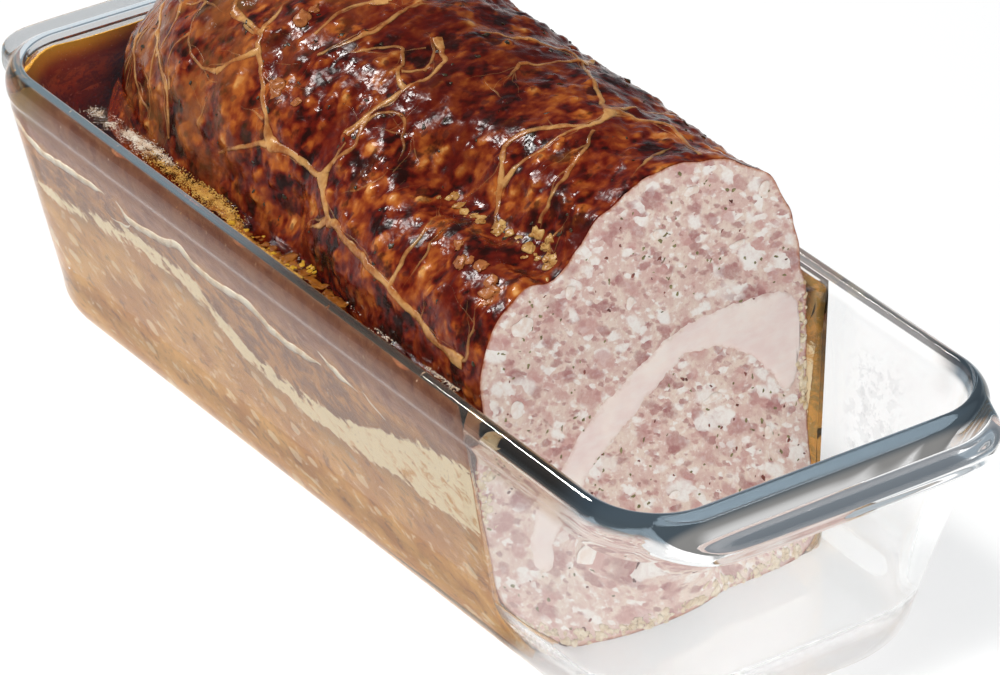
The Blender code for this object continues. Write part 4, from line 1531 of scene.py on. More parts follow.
# Strands of the lace: half-thickness, then the route over the dome as (x, turn), where
# turn is in degrees round the loaf from straight up, towards the near side.
STRANDS = [
    (1.0, [(-64, 29), (-51, 30), (-48, 34), (-35, 45), (-30, 52)]),
    (0.7, [(-55, 16), (-51, 30)]),
    (0.7, [(-48, 34), (-56, 45)]),
    (0.8, [(-30, 52), (-46, 64)]),
    (1.2, [(-30, 52), (-20, 51), (-10, 51), (-8, 40)]),
    (1.4, [(-10, 51), (-1, 60), (2, 59), (10, 61), (18, 62), (29, 64), (37, 66), (45, 68),
           (58, 69)]),
    (0.9, [(-1, 60), (-9, 67)]),
    (0.7, [(29, 64), (29, 51), (26, 40)]),
    (0.8, [(-39, 22), (-40, 9), (-36, 1)]),
    (0.9, [(-33, 26), (-29, 15), (-29, 7), (-31, -7)]),
    (1.0, [(-9, 38), (-8, 25), (-6, 19), (-6, 12), (-9, 5), (-16, 1)]),
    (0.7, [(-29, 23), (-21, 11), (-17, 11), (-11, 18), (-6, 19)]),
    (0.7, [(-9, 38), (-6, 29), (0, 26), (7, 36)]),
    (0.9, [(-12, -9), (-6, -20), (1, -26), (7, -25), (19, -18), (33, -12)]),
    (0.6, [(7, -25), (4, -8)]),
    (1.1, [(33, -12), (36, -4), (31, 3), (26, 13), (29, 19), (39, 35)]),
    (0.7, [(36, -4), (34, 11), (32, 23)]),
    (0.9, [(39, -2), (42, 3), (45, 11), (49, 27)]),
    (1.0, [(33, -12), (42, -22), (58, -19)]),
    (0.7, [(51, -18), (53, -10), (58, 3)]),
    (1.0, [(-104, 26), (-83, 49), (-71, 58), (-65, 72)]),
    (0.9, [(-96, 50), (-91, 60), (-82, 70)]),
    (1.0, [(-20, -40), (-6, -46), (7, -25)]),
    (0.9, [(-6, -46), (6, -58), (18, -66), (40, -68)]),
    (0.8, [(33, -12), (30, -34), (18, -66)]),
    (0.9, [(-20, -40), (-44, -36), (-62, -46), (-84, -52)]),
    (0.8, [(-44, -36), (-52, -60), (-66, -70)]),
    (0.8, [(-36, 1), (-52, -8), (-44, -36)]),
]
# Finer strands between them, told the same way.
FINE_STRANDS = [
    (0.55, [(-92, 30), (-84, 34), (-76, 30), (-66, 31)]),
    (0.5, [(-84, 34), (-80, 44), (-82, 52)]),
    (0.5, [(-76, 30), (-72, 40), (-64, 46), (-56, 45)]),
    (0.45, [(-72, 40), (-74, 50), (-70, 57)]),
    (0.5, [(-64, 29), (-70, 18), (-66, 8)]),
    (0.8, [(-101, 27), (-100, 42), (-99, 58), (-101, 73)]),
    (0.7, [(-97, 38), (-95, 52), (-97, 66), (-96, 77)]),
    (0.5, [(-106, 36), (-104, 50), (-105, 64)]),
    (0.55, [(-96, 35), (-93, 54), (-94, 64), (-98, 77)]),
    (0.6, [(-102, 48), (-100, 58), (-104, 70)]),
    (0.6, [(-88, 55), (-80, 61), (-78, 68), (-75, 78)]),
    (0.5, [(-85, 47), (-79, 61), (-73, 66)]),
    (0.45, [(-85, 66), (-79, 69), (-78, 75)]),
    (0.4, [(-58, 30), (-54, 31), (-50, 30)]),
    (0.45, [(-46, 27), (-43, 24), (-42, 18)]),
    (0.5, [(-43, 35), (-40, 33), (-35, 31)]),
    (0.45, [(-36, 40), (-32, 35)]),
    (0.4, [(-43, 48), (-34, 48)]),
    (0.55, [(-52, 66), (-55, 57), (-54, 48)]),
    (0.6, [(-8, 46), (-5, 40), (-8, 32)]),
    (0.5, [(-5, 33), (4, 28), (7, 31)]),
    (0.45, [(-25, 26), (-18, 23)]),
    (0.5, [(-1, 52), (5, 47), (9, 37)]),
    (0.4, [(14, 48), (12, 39)]),
    (0.5, [(33, 62), (33, 50), (32, 40)]),
    (0.4, [(40, 66), (41, 60)]),
    (0.5, [(56, 69), (59, 67), (58, 60), (55, 53)]),
    (0.45, [(41, 35), (47, 40)]),
    (0.45, [(4, -8), (7, -2), (9, 1)]),
    (0.5, [(-6, -19), (-10, -13), (-14, -10)]),
    (0.45, [(3, 3), (9, 4), (15, 5)]),
    (0.5, [(-20, 2), (-15, 3), (-11, 7), (-9, 11)]),
    (0.45, [(27, -28), (21, -33)]),
    (0.6, [(54, 19), (55, 23), (53, 28), (59, 32)]),
    (0.4, [(-31, 3), (-33, -4)]),
    (0.4, [(-12, 16), (-9, 9)]),
    (0.45, [(26, 2), (31, 4)]),
    (0.5, [(-70, -20), (-60, -14), (-52, -8)]),
    (0.5, [(-62, -46), (-70, -34), (-80, -30)]),
    (0.5, [(40, -68), (52, -60), (62, -62)]),
    (0.45, [(30, -34), (44, -40), (58, -38)]),
]
# Caul pressed flat against the loaf's near side, seen through the glass.
SIDE_STRANDS = [
    (1.3, [(-124, 90), (-117, 92), (-106, 95), (-92, 94), (-78, 93)]),
    (1.4, [(-73, 93), (-67, 96), (-53, 94), (-47, 92), (-38, 95), (-29, 95), (-17, 94),
           (-8, 97), (1, 97), (10, 96)]),
    (1.1, [(9, 92), (16, 94), (24, 96)]),
    (1.0, [(26, 95), (35, 98)]),
    (0.8, [(-67, 96), (-70, 99), (-76, 100)]),
]
# Millimetres round the loaf in one degree of turn.
TURN_LENGTH = 0.78
TAPER_LENGTH = 7.0
TAPER_TO = 0.15
FLARE_LENGTH = 3.2
FLARE = 0.9
JOIN_DISTANCE = 1.5
SHORTEST_ROUTE = 4
JOIN_SAMPLES = 24
TWIG_SEED = 5
TWIG_STARTS = 20
TWIG_JOINTS = 4
TWIG_SLANT = (0.35, 0.9)
TWIG_REACH = (5.0, 15.0)
TWIG_BEND = 0.3
TWIG_WAVER = 0.25
TWIG_HALF_WIDTH = 0.3
TWIG_SHARE = 0.35
TWIG_THINNING = (0.6, 1.0)
# Strands at least this thick have a companion, which strays this far from their side.
COMPANION_FROM = 0.8
COMPANION_SEED = 9
COMPANION_STRAY = 1.0
COMPANION_SHEAR = 0.6
COMPANION_HALF_WIDTH = (0.3, 0.45)
STRAND_SIDES = 8
PRESSED_FLATNESS = 0.15


def route_place(x, turn, radius=ROUTE_RADIUS):
    """A place outside the loaf, square above (x, turn)."""
    angle = math.radians(turn)
    return Vector((x, -radius * math.sin(angle), STRAND_AXIS_Z + radius * math.cos(angle)))


def on_dome(point):
    """(x, turn) as flat millimetres over the dome, for measuring between strands."""
    return Vector((point[0], point[1] * TURN_LENGTH))


def joins_another(point, route, others):
    """Whether a strand's end lies on some other strand."""
    for other in others:
        if other is route:
            continue
        flat = [on_dome(spot) for spot in other]
        for place in spline_points(flat, JOIN_SAMPLES):
            if (place - on_dome(point)).length < JOIN_DISTANCE:
                return True
    return False


def strand_widths(route, half_width, others):
    """Half-widths along a strand: flared where it joins another and drawn out if free."""
    flat = [on_dome(spot) for spot in route]
    number = max(SHORTEST_ROUTE, round(sum((b - a).length for a, b in zip(flat, flat[1:]))))
    points = spline_points(route, number)
    ends = [joins_another(route[0], route, others), joins_another(route[-1], route, others)]
    widths = []
    for index in range(number):
        width = half_width
        for end, distance in zip(ends, (index, number - 1 - index)):
            if end:
                width *= 1.0 + FLARE * math.exp(-(distance / FLARE_LENGTH) ** 2)
            else:
                width *= mix(TAPER_TO, 1.0, smoothstep(0.0, TAPER_LENGTH, distance))
        widths.append(width)
    return points, widths


def twig_routes(routes, number):
    """Thin side branches that leave the strands at a slant and curve away."""
    draw = random.Random(TWIG_SEED)
    twigs = []
    while len(twigs) < number:
        half_width, route = draw.choice(routes)
        points = spline_points(route, TWIG_STARTS)
        index = draw.randrange(1, len(points) - 1)
        start = points[index]
        along = points[index + 1] - points[index - 1]
        along.y *= TURN_LENGTH
        slant = draw.choice((-1.0, 1.0)) * draw.uniform(*TWIG_SLANT)
        heading = along.normalized()
        heading.rotate(Matrix.Rotation(slant, 2))
        joint = draw.uniform(*TWIG_REACH) / TWIG_JOINTS
        bend = draw.uniform(-TWIG_BEND, TWIG_BEND)
        twig = [tuple(start)]
        place = start.copy()
        for _ in range(TWIG_JOINTS):
            place = place + Vector((heading.x, heading.y / TURN_LENGTH)) * joint
            place.x = min(place.x, LACE_END_X)
            waver = draw.uniform(-TWIG_WAVER, TWIG_WAVER)
            heading.rotate(Matrix.Rotation(bend + waver, 2))
            twig.append(tuple(place))
        thin = min(TWIG_HALF_WIDTH, half_width * TWIG_SHARE)
        twigs.append((thin * draw.uniform(*TWIG_THINNING), twig))
    return twigs


def companion_routes(routes):
    """A thinner fibre beside each thick strand, crossing it now and then."""
    draw = random.Random(COMPANION_SEED)
    companions = []
    for half_width, route in routes:
        if half_width < COMPANION_FROM:
            continue
        points = spline_points(route, max(SHORTEST_ROUTE, len(route)))
        aside = half_width * draw.choice((-1.0, 1.0))
        companion = []
        for point in points:
            shift = aside + draw.uniform(-COMPANION_STRAY, COMPANION_STRAY)
            x = min(point.x + COMPANION_SHEAR * shift, LACE_END_X)
            companion.append((x, point.y + shift))
        companions.append((draw.uniform(*COMPANION_HALF_WIDTH), companion))
    return companions


def edge_mesh(name, routes):
    """Loose edges along routes of (places, half-widths), with the half-widths kept."""
    places = []
    edges = []
    widths = []
    for route, route_widths in routes:
        first = len(places)
        places += [place * MM for place in route]
        edges += [(first + k, first + k + 1) for k in range(len(route) - 1)]
        widths += [width * MM for width in route_widths]
    mesh = bpy.data.meshes.new(name)
    mesh.from_pydata(places, edges, [])
    layer = mesh.attributes.new("half_width", "FLOAT", "POINT")
    layer.data.foreach_set("value", widths)
    return mesh


def route_mesh(routes, others):
    """Edges along the strands, above the loaf."""
    placed = []
    for half_width, route in routes:
        points, widths = strand_widths(route, half_width, others)
        placed.append(([route_place(*point) for point in points], widths))
    return edge_mesh("routes", placed)


def strand_tree():
    """Tubes along routes, dropped on the loaf and pressed flat against it."""
    tree = Growth("surface_strands", ["Ground", "Axis Height", "Step", "Flatness",
                                      "Wander", "Sides", "Finish"])
    ground = tree.ground()
    curves = tree.field("GeometryNodeMeshToCurve", {}, {0: tree.given("Geometry")})
    fine = tree.field("GeometryNodeResampleCurve", {"mode": "LENGTH"},
                      {0: curves, "Length": tree.given("Step") * 1.6})
    x = tree.axis(tree.place, "X")
    axis = tree.field("ShaderNodeCombineXYZ", {}, {0: x, 2: tree.given("Axis Height")})
    inward = tree.vector("SUBTRACT", axis, tree.place)
    cast = tree.node("GeometryNodeRaycast", {},
                     {0: ground, "Source Position": tree.place, "Ray Direction": inward,
                      "Ray Length": 2.0 * ROUTE_RADIUS * MM})
    hit = Field(tree, cast.outputs["Hit Position"])
    push = tree.push(hit, 5.0, tree.given("Wander") * 2.0, 1.0)
    spot = tree.field("GeometryNodeSwitch", {"input_type": "VECTOR"},
                      {0: Field(tree, cast.outputs["Is Hit"]), 1: tree.place, 2: hit})
    laid = tree.placed(fine, tree.nearest(ground, tree.vector("ADD", spot, push)))
    ring = tree.field("GeometryNodeCurvePrimitiveCircle", {},
                      {"Resolution": tree.given("Sides"), "Radius": 1.0})
    uneven = tree.noise(tree.place, 4.0, 2.0) * 0.8 + 0.36
    tubes = tree.field("GeometryNodeCurveToMesh", {},
                       {0: laid, 1: ring, "Scale": tree.named("half_width") * uneven,
                        "Fill Caps": True})
    near = tree.nearest(ground)
    above = tree.vector("SUBTRACT", tree.place, near)
    height = tree.field("ShaderNodeVectorMath", {"operation": "LENGTH"}, {0: above}, "Value")
    marked = tree.field("GeometryNodeStoreNamedAttribute", {"data_type": "FLOAT"},
                        {0: tubes, "Name": "thick", "Value": height / MM})
    tree.finish(tree.flattened(marked, near))
    return tree


def caul_finish(settings, crust):
    """Browned fat, golden where it is thick; the crust shows through where it thins."""
    finish = Finish("caul_fat")
    place = finish.place
    cloud = finish.noise(place, 5.0, 3.0)
    fine = finish.noise(place, 1.1, 3.0)
    paint = finish.blend(cloud.fade(0.35, 0.65), settings.brown, settings.gold)
    paint = finish.blend(fine.fade(0.4, 0.75) * 0.4, paint, settings.gold)
    cover = finish.attribute("thick").fade(0.02, 0.85) * (fine * 0.6 + 0.38) + 0.1
    paint = finish.blend(cover, crust_paint(finish, crust), paint)
    finish.set(Base_Color=paint, Roughness=fine * 0.2 + 0.14, IOR=1.42,
               Specular_IOR_Level=0.22)
    finish.bump(fine + cloud, 0.2, 0.5)
    return finish.material


def cloudy_finish(name, first, second, size, detail, ends, **values):
    """Two close colours in clouds of a size, and the clouds themselves."""
    finish = Finish(name)
    cloud = finish.noise(finish.place, size, detail)
    finish.set(Base_Color=finish.blend(cloud.fade(*ends), first, second), IOR=1.42,
               **values)
    return finish, cloud


def pressed_finish():
    """Pale fat that clings to the glass."""
    return cloudy_finish("pressed_fat", shade(214, 188, 152), shade(238, 226, 204), 4.0,
                         4.0, (0.35, 0.6), Roughness=0.4,
                         Specular_IOR_Level=0.1)[0].material


class TERRINE_OT_caul(bpy.types.Operator):
    """Lace of caul fat over the crust, and the strands pressed against the glass"""
    bl_idname = "terrine.caul"
    bl_label = "Caul fat"

    def execute(self, context):
        settings = context.scene.terrine_caul
        tree = strand_tree()
        every = STRANDS + FINE_STRANDS
        extras = twig_routes(every, settings.twigs) + companion_routes(STRANDS)
        crossed = [route for _, route in every]
        kinds = (
            ("caul_lace", "terrine_loaf", every + extras, crossed, settings.flatness,
             caul_finish(settings, context.scene.terrine_loaf)),
            ("pressed_caul", "settled_layer", SIDE_STRANDS, [], PRESSED_FLATNESS,
             pressed_finish()),
        )
        for name, ground, routes, others, flatness, finish in kinds:
            mesh = tree.grown(name, route_mesh(routes, others),
                              ground=bpy.data.objects[ground],
                              axis_height=STRAND_AXIS_Z * MM, step=settings.step,
                              flatness=flatness, wander=settings.wander,
                              sides=STRAND_SIDES, finish=finish)
            add_piece(name, mesh, "browned_crust")
        return {"FINISHED"}


# ---- Flecks ----
FLECK_KINDS = [
    # name, setting, inset from and to, lowest z, length, width, thickness, seed
    ("cut_herbs", "herbs", 2.0, 60.0, 0.0, 0.5, 0.3, 0.12, 3),
    ("cut_peppers", "peppers", 2.0, 60.0, 0.0, 0.45, 0.34, 0.12, 7),
    ("crust_herbs", "crust_herbs", -200.0, -3.0, 64.0, 0.7, 0.45, 0.1, 11),
]
# Areas of the cut and of the open crust in square metres.
CUT_AREA = 0.0076
CRUST_AREA = 0.027
FULL_TURN = 6.28
FLECK_RAGGEDNESS = 2.8
MARK_HALF_THICKNESS = 0.4
MARK_WAVE = 2.2
MARK_RAGGEDNESS = 0.8
# Blender seeds its vector noise from the clock unless a script sets it.
MARK_SEED = 4
# Single lumps of fat that stand out on the cut: (y, z) and their half sizes.
CUT_MARKS = [
    (-34.9, 76.0, 3.0, 2.4), (32.2, 88.6, 1.5, 2.2), (-37.5, 57.0, 1.8, 2.6),
    (12.0, 94.5, 2.2, 1.2), (-22.0, 80.5, 1.2, 1.9), (3.0, 87.0, 1.8, 1.0),
    (24.0, 78.0, 2.3, 0.9), (-6.0, 73.0, 1.1, 1.7), (16.0, 43.0, 2.6, 0.9),
    (30.0, 30.0, 1.1, 2.2), (2.0, 25.0, 1.9, 1.2), (-20.0, 20.0, 2.1, 1.6),
]


def fleck_tree():
    """Small flat flecks strewn over part of a surface, lying in it."""
    tree = Growth("strewn_flecks", ["From", "To", "Lowest", "Density", "Long", "Wide",
                                    "Thick", "Seed", "Finish"])
    inset = tree.named("inset")
    low = inset.math("GREATER_THAN", inset, tree.given("From"))
    high = inset.math("LESS_THAN", inset, tree.given("To"))
    height = tree.axis(tree.place, "Z")
    above = height.math("GREATER_THAN", height, tree.given("Lowest"))
    strewn = tree.node("GeometryNodeDistributePointsOnFaces", {},
                       {0: tree.given("Geometry"), "Selection": low * high * above,
                        "Density": tree.given("Density"), "Seed": tree.given("Seed")})
    turn = tree.field("FunctionNodeAxisAngleToRotation", {},
                      {"Axis": (0.0, 0.0, 1.0), "Angle": tree.random(0.0, FULL_TURN, 1)})
    spun = tree.field("FunctionNodeRotateRotation", {"rotation_space": "LOCAL"},
                      {0: Field(tree, strewn.outputs["Rotation"]), 1: turn})
    scale = tree.field("ShaderNodeCombineXYZ", {},
                       {0: tree.given("Long") * (tree.random(0.4, 1.2, 2) ** 2.0 + 0.2),
                        1: tree.given("Wide") * tree.random(0.6, 1.4, 3),
                        2: tree.given("Thick")})
    pebble = tree.field("GeometryNodeMeshIcoSphere", {}, {"Radius": 1.0, "Subdivisions": 2})
    flecks = tree.field("GeometryNodeInstanceOnPoints", {},
                        {0: Field(tree, strewn.outputs["Points"]), "Instance": pebble,
                         "Rotation": spun, "Scale": scale})
    solid = tree.field("GeometryNodeRealizeInstances", {}, {0: flecks})
    ragged = tree.push(tree.place, 2.0 / 3.0, tree.given("Wide") * FLECK_RAGGEDNESS)
    tree.finish(tree.shifted(solid, ragged))
    return tree


def plain_finish(name, first, second, roughness):
    """A dull finish in two close colours."""
    return cloudy_finish(name, first, second, 1.6, 3.0, (0.35, 0.65),
                         Roughness=roughness)[0].material


def fat_finish(name, first, second):
    """Soft fat in two close colours, a little uneven."""
    finish, cloud = cloudy_finish(name, first, second, 1.8, 4.0, (0.3, 0.7),
                                  Roughness=0.3, Specular_IOR_Level=0.35)
    finish.bump(cloud, 0.3, 0.5)
    return finish.material


def marks_mesh(finish):
    """Uneven flat lumps set into the cut."""
    builder = bmesh.new()
    for y, z, half_y, half_z in CUT_MARKS:
        middle = Vector((cut_x(y, z), y, z)) * MM
        sizes = Matrix.Diagonal((MARK_HALF_THICKNESS * MM, half_y * MM, half_z * MM, 1.0))
        bmesh.ops.create_icosphere(builder, subdivisions=4, radius=1.0,
                                   matrix=Matrix.Translation(middle) @ sizes)
    noise.seed_set(MARK_SEED)
    for vert in builder.verts:
        push = noise.noise_vector(vert.co / MM / MARK_WAVE) * MARK_RAGGEDNESS
        vert.co += Vector((0.0, push.y, push.z)) * MM
    return finished_mesh("cut_marks", builder, [finish])


class TERRINE_OT_flecks(bpy.types.Operator):
    """Flecks of herb and pepper on the cut and in the crust, and larger bits of fat"""
    bl_idname = "terrine.flecks"
    bl_label = "Flecks"

    def execute(self, context):
        cut = context.scene.terrine_cut
        herb = plain_finish("dried_herb", cut.herb_green, shade(110, 100, 62), 0.5)
        browned = plain_finish("browned_herb", shade(64, 52, 30), shade(40, 30, 18), 0.4)
        pepper = plain_finish("cracked_pepper", cut.pepper_red, shade(96, 50, 40), 0.4)
        finishes = {"cut_herbs": herb, "cut_peppers": pepper, "crust_herbs": browned}
        tree = fleck_tree()
        loaf = bpy.data.objects["terrine_loaf"].data
        for name, number, low, high, lowest, long, wide, thick, seed in FLECK_KINDS:
            area = CUT_AREA if low > 0.0 else CRUST_AREA
            mesh = tree.grown(name, loaf, lowest=lowest * MM, seed=seed,
                              density=getattr(cut, number) / area, long=long * MM,
                              wide=wide * MM, thick=thick * MM, finish=finishes[name],
                              **{"from": low, "to": high})
            add_piece(name, mesh, "browned_crust")
        add_piece("cut_marks", marks_mesh(fat_finish("back_fat", cut.fat, cut.paste)),
                  "browned_crust")
        return {"FINISHED"}


# ---- Fat and froth ----
FAT_HEIGHT = 60.6
GRAIN_RAGGEDNESS = 2.2
# Above these numbers on a route, a grain is a ball of 20 faces, or of 80.
MANY_GRAINS = 200
SOME_GRAINS = 30
# Bands of small grains: name, size of a grain, how many on a route, flatness and two
# colours, then the routes as (spread, places). Places are (x, y) on the aspic, (x, turn)
# on the crust and (y, z) on the cut.
ON_ASPIC = [
    ("white_frost", 0.17, 1500, 0.8, (236, 226, 210), (206, 178, 148), [
        (2.0, [(-94, -43.6), (-84, -44.2), (-77, -44.2), (-68, -44.8)]),
        (1.2, [(-80, -42.8), (-72, -42.6), (-61, -42.8)])]),
    ("ochre_fat", 0.2, 1900, 0.6, (216, 170, 84), (174, 118, 44), [
        (2.0, [(-70, -44.2), (-60, -44.2), (-48, -44.8), (-40, -45.2)]),
        (1.3, [(-50, -43.8), (-40, -44.2), (-30, -45.6)]),
        (0.6, [(-30, -47.4), (-16, -47.8), (-2, -47.9)])]),
    ("amber_skin", 1.2, 60, 0.06, (150, 90, 28), (120, 64, 20), [
        (1.2, [(-40, -45.4), (-26, -46.2), (-12, -46.6)]),
        (1.0, [(-12, -45.6), (2, -46.4), (14, -46.8)])]),
    ("yellow_fat", 0.8, 9, 0.4, (214, 168, 52), (186, 134, 36), [
        (1.4, [(-34, -45.0), (-22, -46.2), (-7, -46.6)]),
        (0.8, [(-8, -43.4), (-2, -44.4)])]),
    ("pale_froth", 0.22, 420, 0.8, (236, 222, 204), (200, 168, 134), [
        (1.4, [(14, -44.0), (19, -44.4)]),
        (1.6, [(25, -45.0), (31, -45.8)]),
        (1.1, [(44, -46.4), (52, -46.8), (57, -46.6)])]),
]
ON_CRUST = [
    ("crease_fat", 1.3, 14, 0.35, (206, 164, 100), (164, 108, 50), [
        (1.6, [(20, 34), (28, 36), (36, 36)]),
        (2.0, [(40, 35), (47, 33), (54, 34)]),
        (1.8, [(52, 29), (56, 32), (59, 35)])]),
    ("browned_lumps", 2.0, 5, 0.25, (176, 108, 58), (146, 82, 42), [
        (1.6, [(39, 44), (43, 48), (47, 47)]),
        (2.0, [(54, 49), (58, 52)]),
        (3.0, [(-60, 10), (-50, 14), (-46, 20)]),
        (3.0, [(-38, 38), (-30, 42)])]),
]
ON_CUT = [
    ("edge_fat", 0.9, 34, 0.4, (236, 222, 196), (206, 176, 134), [
        (1.8, [(42.8, 63.0), (42.6, 56.0), (41.8, 46.0)]),
        (1.4, [(41.8, 44.0), (41.4, 34.0)]),
        (1.6, [(-45.0, 45.0), (-45.2, 39.0), (-44.6, 34.0)])]),
    ("foot_crumbs", 0.9, 110, 0.4, (232, 216, 192), (206, 180, 146), [
        (1.4, [(-42.0, 9.5), (-33.0, 6.8), (-20.0, 6.2), (0.0, 6.0)]),
        (2.0, [(0.0, 6.0), (16.0, 6.2), (30.0, 7.0), (40.0, 10.5)])]),
]


def grain_tree():
    """Small uneven grains along routes, lying on a surface."""
    tree = Growth("grain_bands", ["Ground", "Number", "Grain", "Fineness", "Flatness",
                                  "Seed", "Finish"])
    ground = tree.ground()
    curves = tree.field("GeometryNodeMeshToCurve", {}, {0: tree.given("Geometry")})
    points = tree.field("GeometryNodeCurveToPoints", {"mode": "COUNT"},
                        {0: curves, "Count": tree.given("Number")})
    stray = tree.named("half_width") * tree.random(0.1, 1.7, 4)
    moved = tree.shifted(points, tree.scaled(tree.random_way(1), stray))
    near = tree.nearest(ground)
    laid = tree.placed(moved, near)
    grain = tree.field("GeometryNodeMeshIcoSphere", {},
                       {"Radius": 1.0, "Subdivisions": tree.given("Fineness")})
    clumps = tree.noise(tree.place, 3.5, 2.0).fade(0.34, 0.5) * 0.65 + 0.35
    size = tree.given("Grain") * tree.random(0.35, 1.15, 2) * clumps
    grains = tree.field("GeometryNodeInstanceOnPoints", {},
                        {0: laid, "Instance": grain, "Scale": size})
    solid = tree.field("GeometryNodeRealizeInstances", {}, {0: grains})
    in_grains = tree.scaled(tree.place, 0.9 / tree.given("Grain"))
    ragged = tree.push(in_grains, 1.0 / MM, tree.given("Grain") * GRAIN_RAGGEDNESS, 3.0)
    tree.finish(tree.flattened(tree.shifted(solid, ragged), near))
    return tree


def fineness(number):
    """How often a grain's faces are divided, by how many grains lie on a route."""
    if number > MANY_GRAINS:
        return 1
    return 2 if number > SOME_GRAINS else 3


class TERRINE_OT_fat(bpy.types.Operator):
    """Frost, fat and froth on the aspic, and lumps of fat on the crust and the cut"""
    bl_idname = "terrine.fat"
    bl_label = "Fat and froth"

    def execute(self, context):
        crust = surface_of("terrine_loaf")

        def on_aspic(x, y):
            return Vector((x, y, FAT_HEIGHT))

        def on_crust(x, turn):
            start = route_place(x, turn)
            axis = Vector((x, 0.0, STRAND_AXIS_Z))
            return crust.ray_cast(start * MM, axis - start)[0] / MM

        def on_cut(y, z):
            return Vector((cut_x(y, z), y, z))

        kinds = [(row, "aspic", "set_aspic", on_aspic) for row in ON_ASPIC]
        kinds += [(row, "browned_crust", "terrine_loaf", on_crust) for row in ON_CRUST]
        kinds += [(row, "browned_crust", "terrine_loaf", on_cut) for row in ON_CUT]
        tree = grain_tree()
        for seed, (row, slot, ground, put) in enumerate(kinds):
            name, grain, number, flatness, first, second, bands = row
            routes = [([put(*spot) for spot in route], [spread] * len(route))
                      for spread, route in bands]
            mesh = tree.grown(name, edge_mesh("bands", routes),
                              ground=bpy.data.objects[ground],
                              number=number, grain=grain * MM, flatness=flatness,
                              seed=seed, fineness=fineness(number),
                              finish=fat_finish(name, shade(*first), shade(*second)))
            add_piece(name, mesh, slot)
        return {"FINISHED"}


# ---- Stage ----
# What the camera faces, in millimetres.
TARGET = Vector((66.18, -42.93, 77.51))
FLOOR_HALF_SIZE = 2.5
FLOOR_DROP = 0.0003
FLOOR_GLOW = 0.6
SENSOR_WIDTH = 36.0
NEAREST_SEEN = 0.05
FARTHEST_SEEN = 20.0
# Soft boxes: name, place and what they face in metres, width and height, power, tint,
# and whether they show in reflections.
LAMPS = [
    ("key", (-0.75, -0.35, 1.05), (0.0, 0.0, 0.05), (0.2, 0.2), 13.0, (1.0, 0.99, 0.97),
     True),
    ("fill", (1.2, -0.5, 0.9), (0.05, 0.0, 0.05), (0.7, 0.7), 13.0, (1.0, 1.0, 1.0),
     False),
]


def add_floor(settings):
    """The floor, a hair below the dish's foot."""
    finish = Finish("pale_floor")
    finish.set(Base_Color=tuple(settings.floor), Roughness=0.7)
    finish.glow((1.0, 1.0, 1.0), FLOOR_GLOW)
    builder = bmesh.new()
    bmesh.ops.create_grid(builder, x_segments=1, y_segments=1, size=FLOOR_HALF_SIZE)
    mesh = finished_mesh("pale_floor", builder, [finish.material])
    floor = add_object("pale_floor", mesh)
    floor.location.z = -FLOOR_DROP


def add_lamp(name, place, target, size, power, tint, reflected):
    """A soft box that faces its target."""
    lamp = bpy.data.lights.new(name, "AREA")
    lamp.shape = "RECTANGLE"
    lamp.size, lamp.size_y = size
    lamp.energy = power
    lamp.color = tint
    holder = add_object(name, lamp)
    holder.location = place
    holder.rotation_mode = "QUATERNION"
    holder.rotation_quaternion = (Vector(target) - Vector(place)).to_track_quat("-Z", "Y")
    holder.visible_glossy = reflected
    holder.visible_transmission = reflected


def add_world():
    """Bright overhead, fading to blue grey at the horizon, so that glass has edges."""
    world = bpy.data.worlds.new("studio")
    world.use_nodes = True
    group = world.node_tree
    group.nodes.clear()
    tree = Tree(group)
    way = tree.field("ShaderNodeTexCoord", output="Generated")
    height = tree.axis(way, "Z")
    sky = tree.blend(height.fade(0.05, 0.3), shade(176, 188, 196), shade(104, 110, 118))
    back = tree.node("ShaderNodeBackground", {}, {"Color": sky, "Strength": 1.0})
    tree.node("ShaderNodeOutputWorld", {}, {"Surface": back})
    bpy.context.scene.world = world


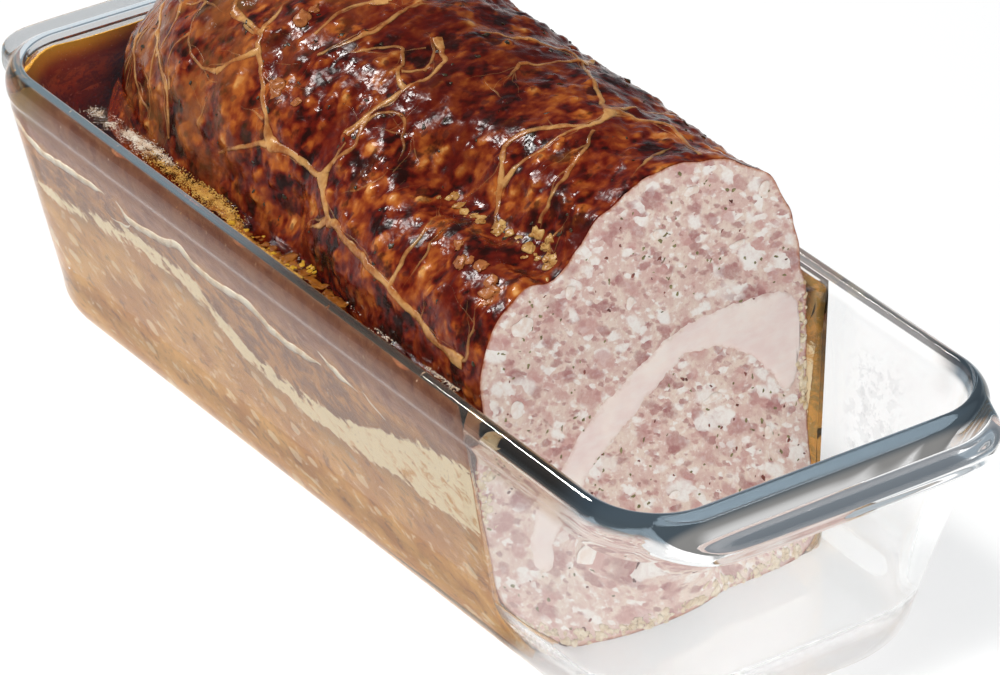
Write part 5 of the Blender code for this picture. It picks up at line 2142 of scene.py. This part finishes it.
def add_camera(settings):
    """The camera, turned and tilted round its target."""
    camera = bpy.data.cameras.new("camera")
    camera.lens = settings.lens
    camera.sensor_width = SENSOR_WIDTH
    camera.clip_start = NEAREST_SEEN
    camera.clip_end = FARTHEST_SEEN
    azimuth = settings.azimuth
    elevation = settings.elevation
    back = Vector((math.sin(azimuth) * math.cos(elevation),
                   -math.cos(azimuth) * math.cos(elevation), math.sin(elevation)))
    right = (-back).cross(Vector((0.0, 0.0, 1.0))).normalized()
    right.rotate(Matrix.Rotation(-settings.roll, 3, back).inverted())
    turned = Matrix((right, back.cross(right), back)).transposed()
    holder = add_object("camera", camera)
    holder.location = TARGET * MM + back * settings.distance
    holder.rotation_mode = "QUATERNION"
    holder.rotation_quaternion = turned.to_quaternion()
    bpy.context.scene.camera = holder


class TERRINE_OT_stage(bpy.types.Operator):
    """Pale floor, soft light and camera"""
    bl_idname = "terrine.stage"
    bl_label = "Stage"

    def execute(self, context):
        settings = context.scene.terrine_stage
        add_floor(settings)
        add_world()
        for lamp in LAMPS:
            add_lamp(*lamp)
        add_camera(settings)
        context.scene.view_settings.view_transform = "Standard"
        return {"FINISHED"}


# ---- Panel and registration ----
GROUPS = {
    "terrine_dish": TERRINE_PG_dish,
    "terrine_loaf": TERRINE_PG_loaf,
    "terrine_cut": TERRINE_PG_cut,
    "terrine_caul": TERRINE_PG_caul,
    "terrine_aspic": TERRINE_PG_aspic,
    "terrine_stage": TERRINE_PG_stage,
}
OPERATORS = [TERRINE_OT_dish, TERRINE_OT_loaf, TERRINE_OT_fillet, TERRINE_OT_aspic,
             TERRINE_OT_caul, TERRINE_OT_flecks, TERRINE_OT_fat, TERRINE_OT_stage]


class TERRINE_PT_panel(bpy.types.Panel):
    """Sizes, colours and one button for each group of pieces"""
    bl_label = "Terrine"
    bl_idname = "TERRINE_PT_panel"
    bl_space_type = "VIEW_3D"
    bl_region_type = "UI"
    bl_category = "Terrine"

    def draw(self, context):
        for operator in OPERATORS:
            self.layout.operator(operator.bl_idname)
        for name in GROUPS:
            box = self.layout.box()
            group = getattr(context.scene, name)
            for key in group.__annotations__:
                box.prop(group, key)


def register():
    for name, group in GROUPS.items():
        bpy.utils.register_class(group)
        setattr(bpy.types.Scene, name, PointerProperty(type=group))
    for made in (*OPERATORS, TERRINE_PT_panel):
        bpy.utils.register_class(made)


def unregister():
    for made in (TERRINE_PT_panel, *reversed(OPERATORS)):
        bpy.utils.unregister_class(made)
    for name, group in reversed(GROUPS.items()):
        delattr(bpy.types.Scene, name)
        bpy.utils.unregister_class(group)


def main():
    register()
    for step in ("dish", "loaf", "fillet", "aspic", "caul", "flecks", "fat", "stage"):
        getattr(bpy.ops.terrine, step)()


if __name__ == "__main__":
    main()
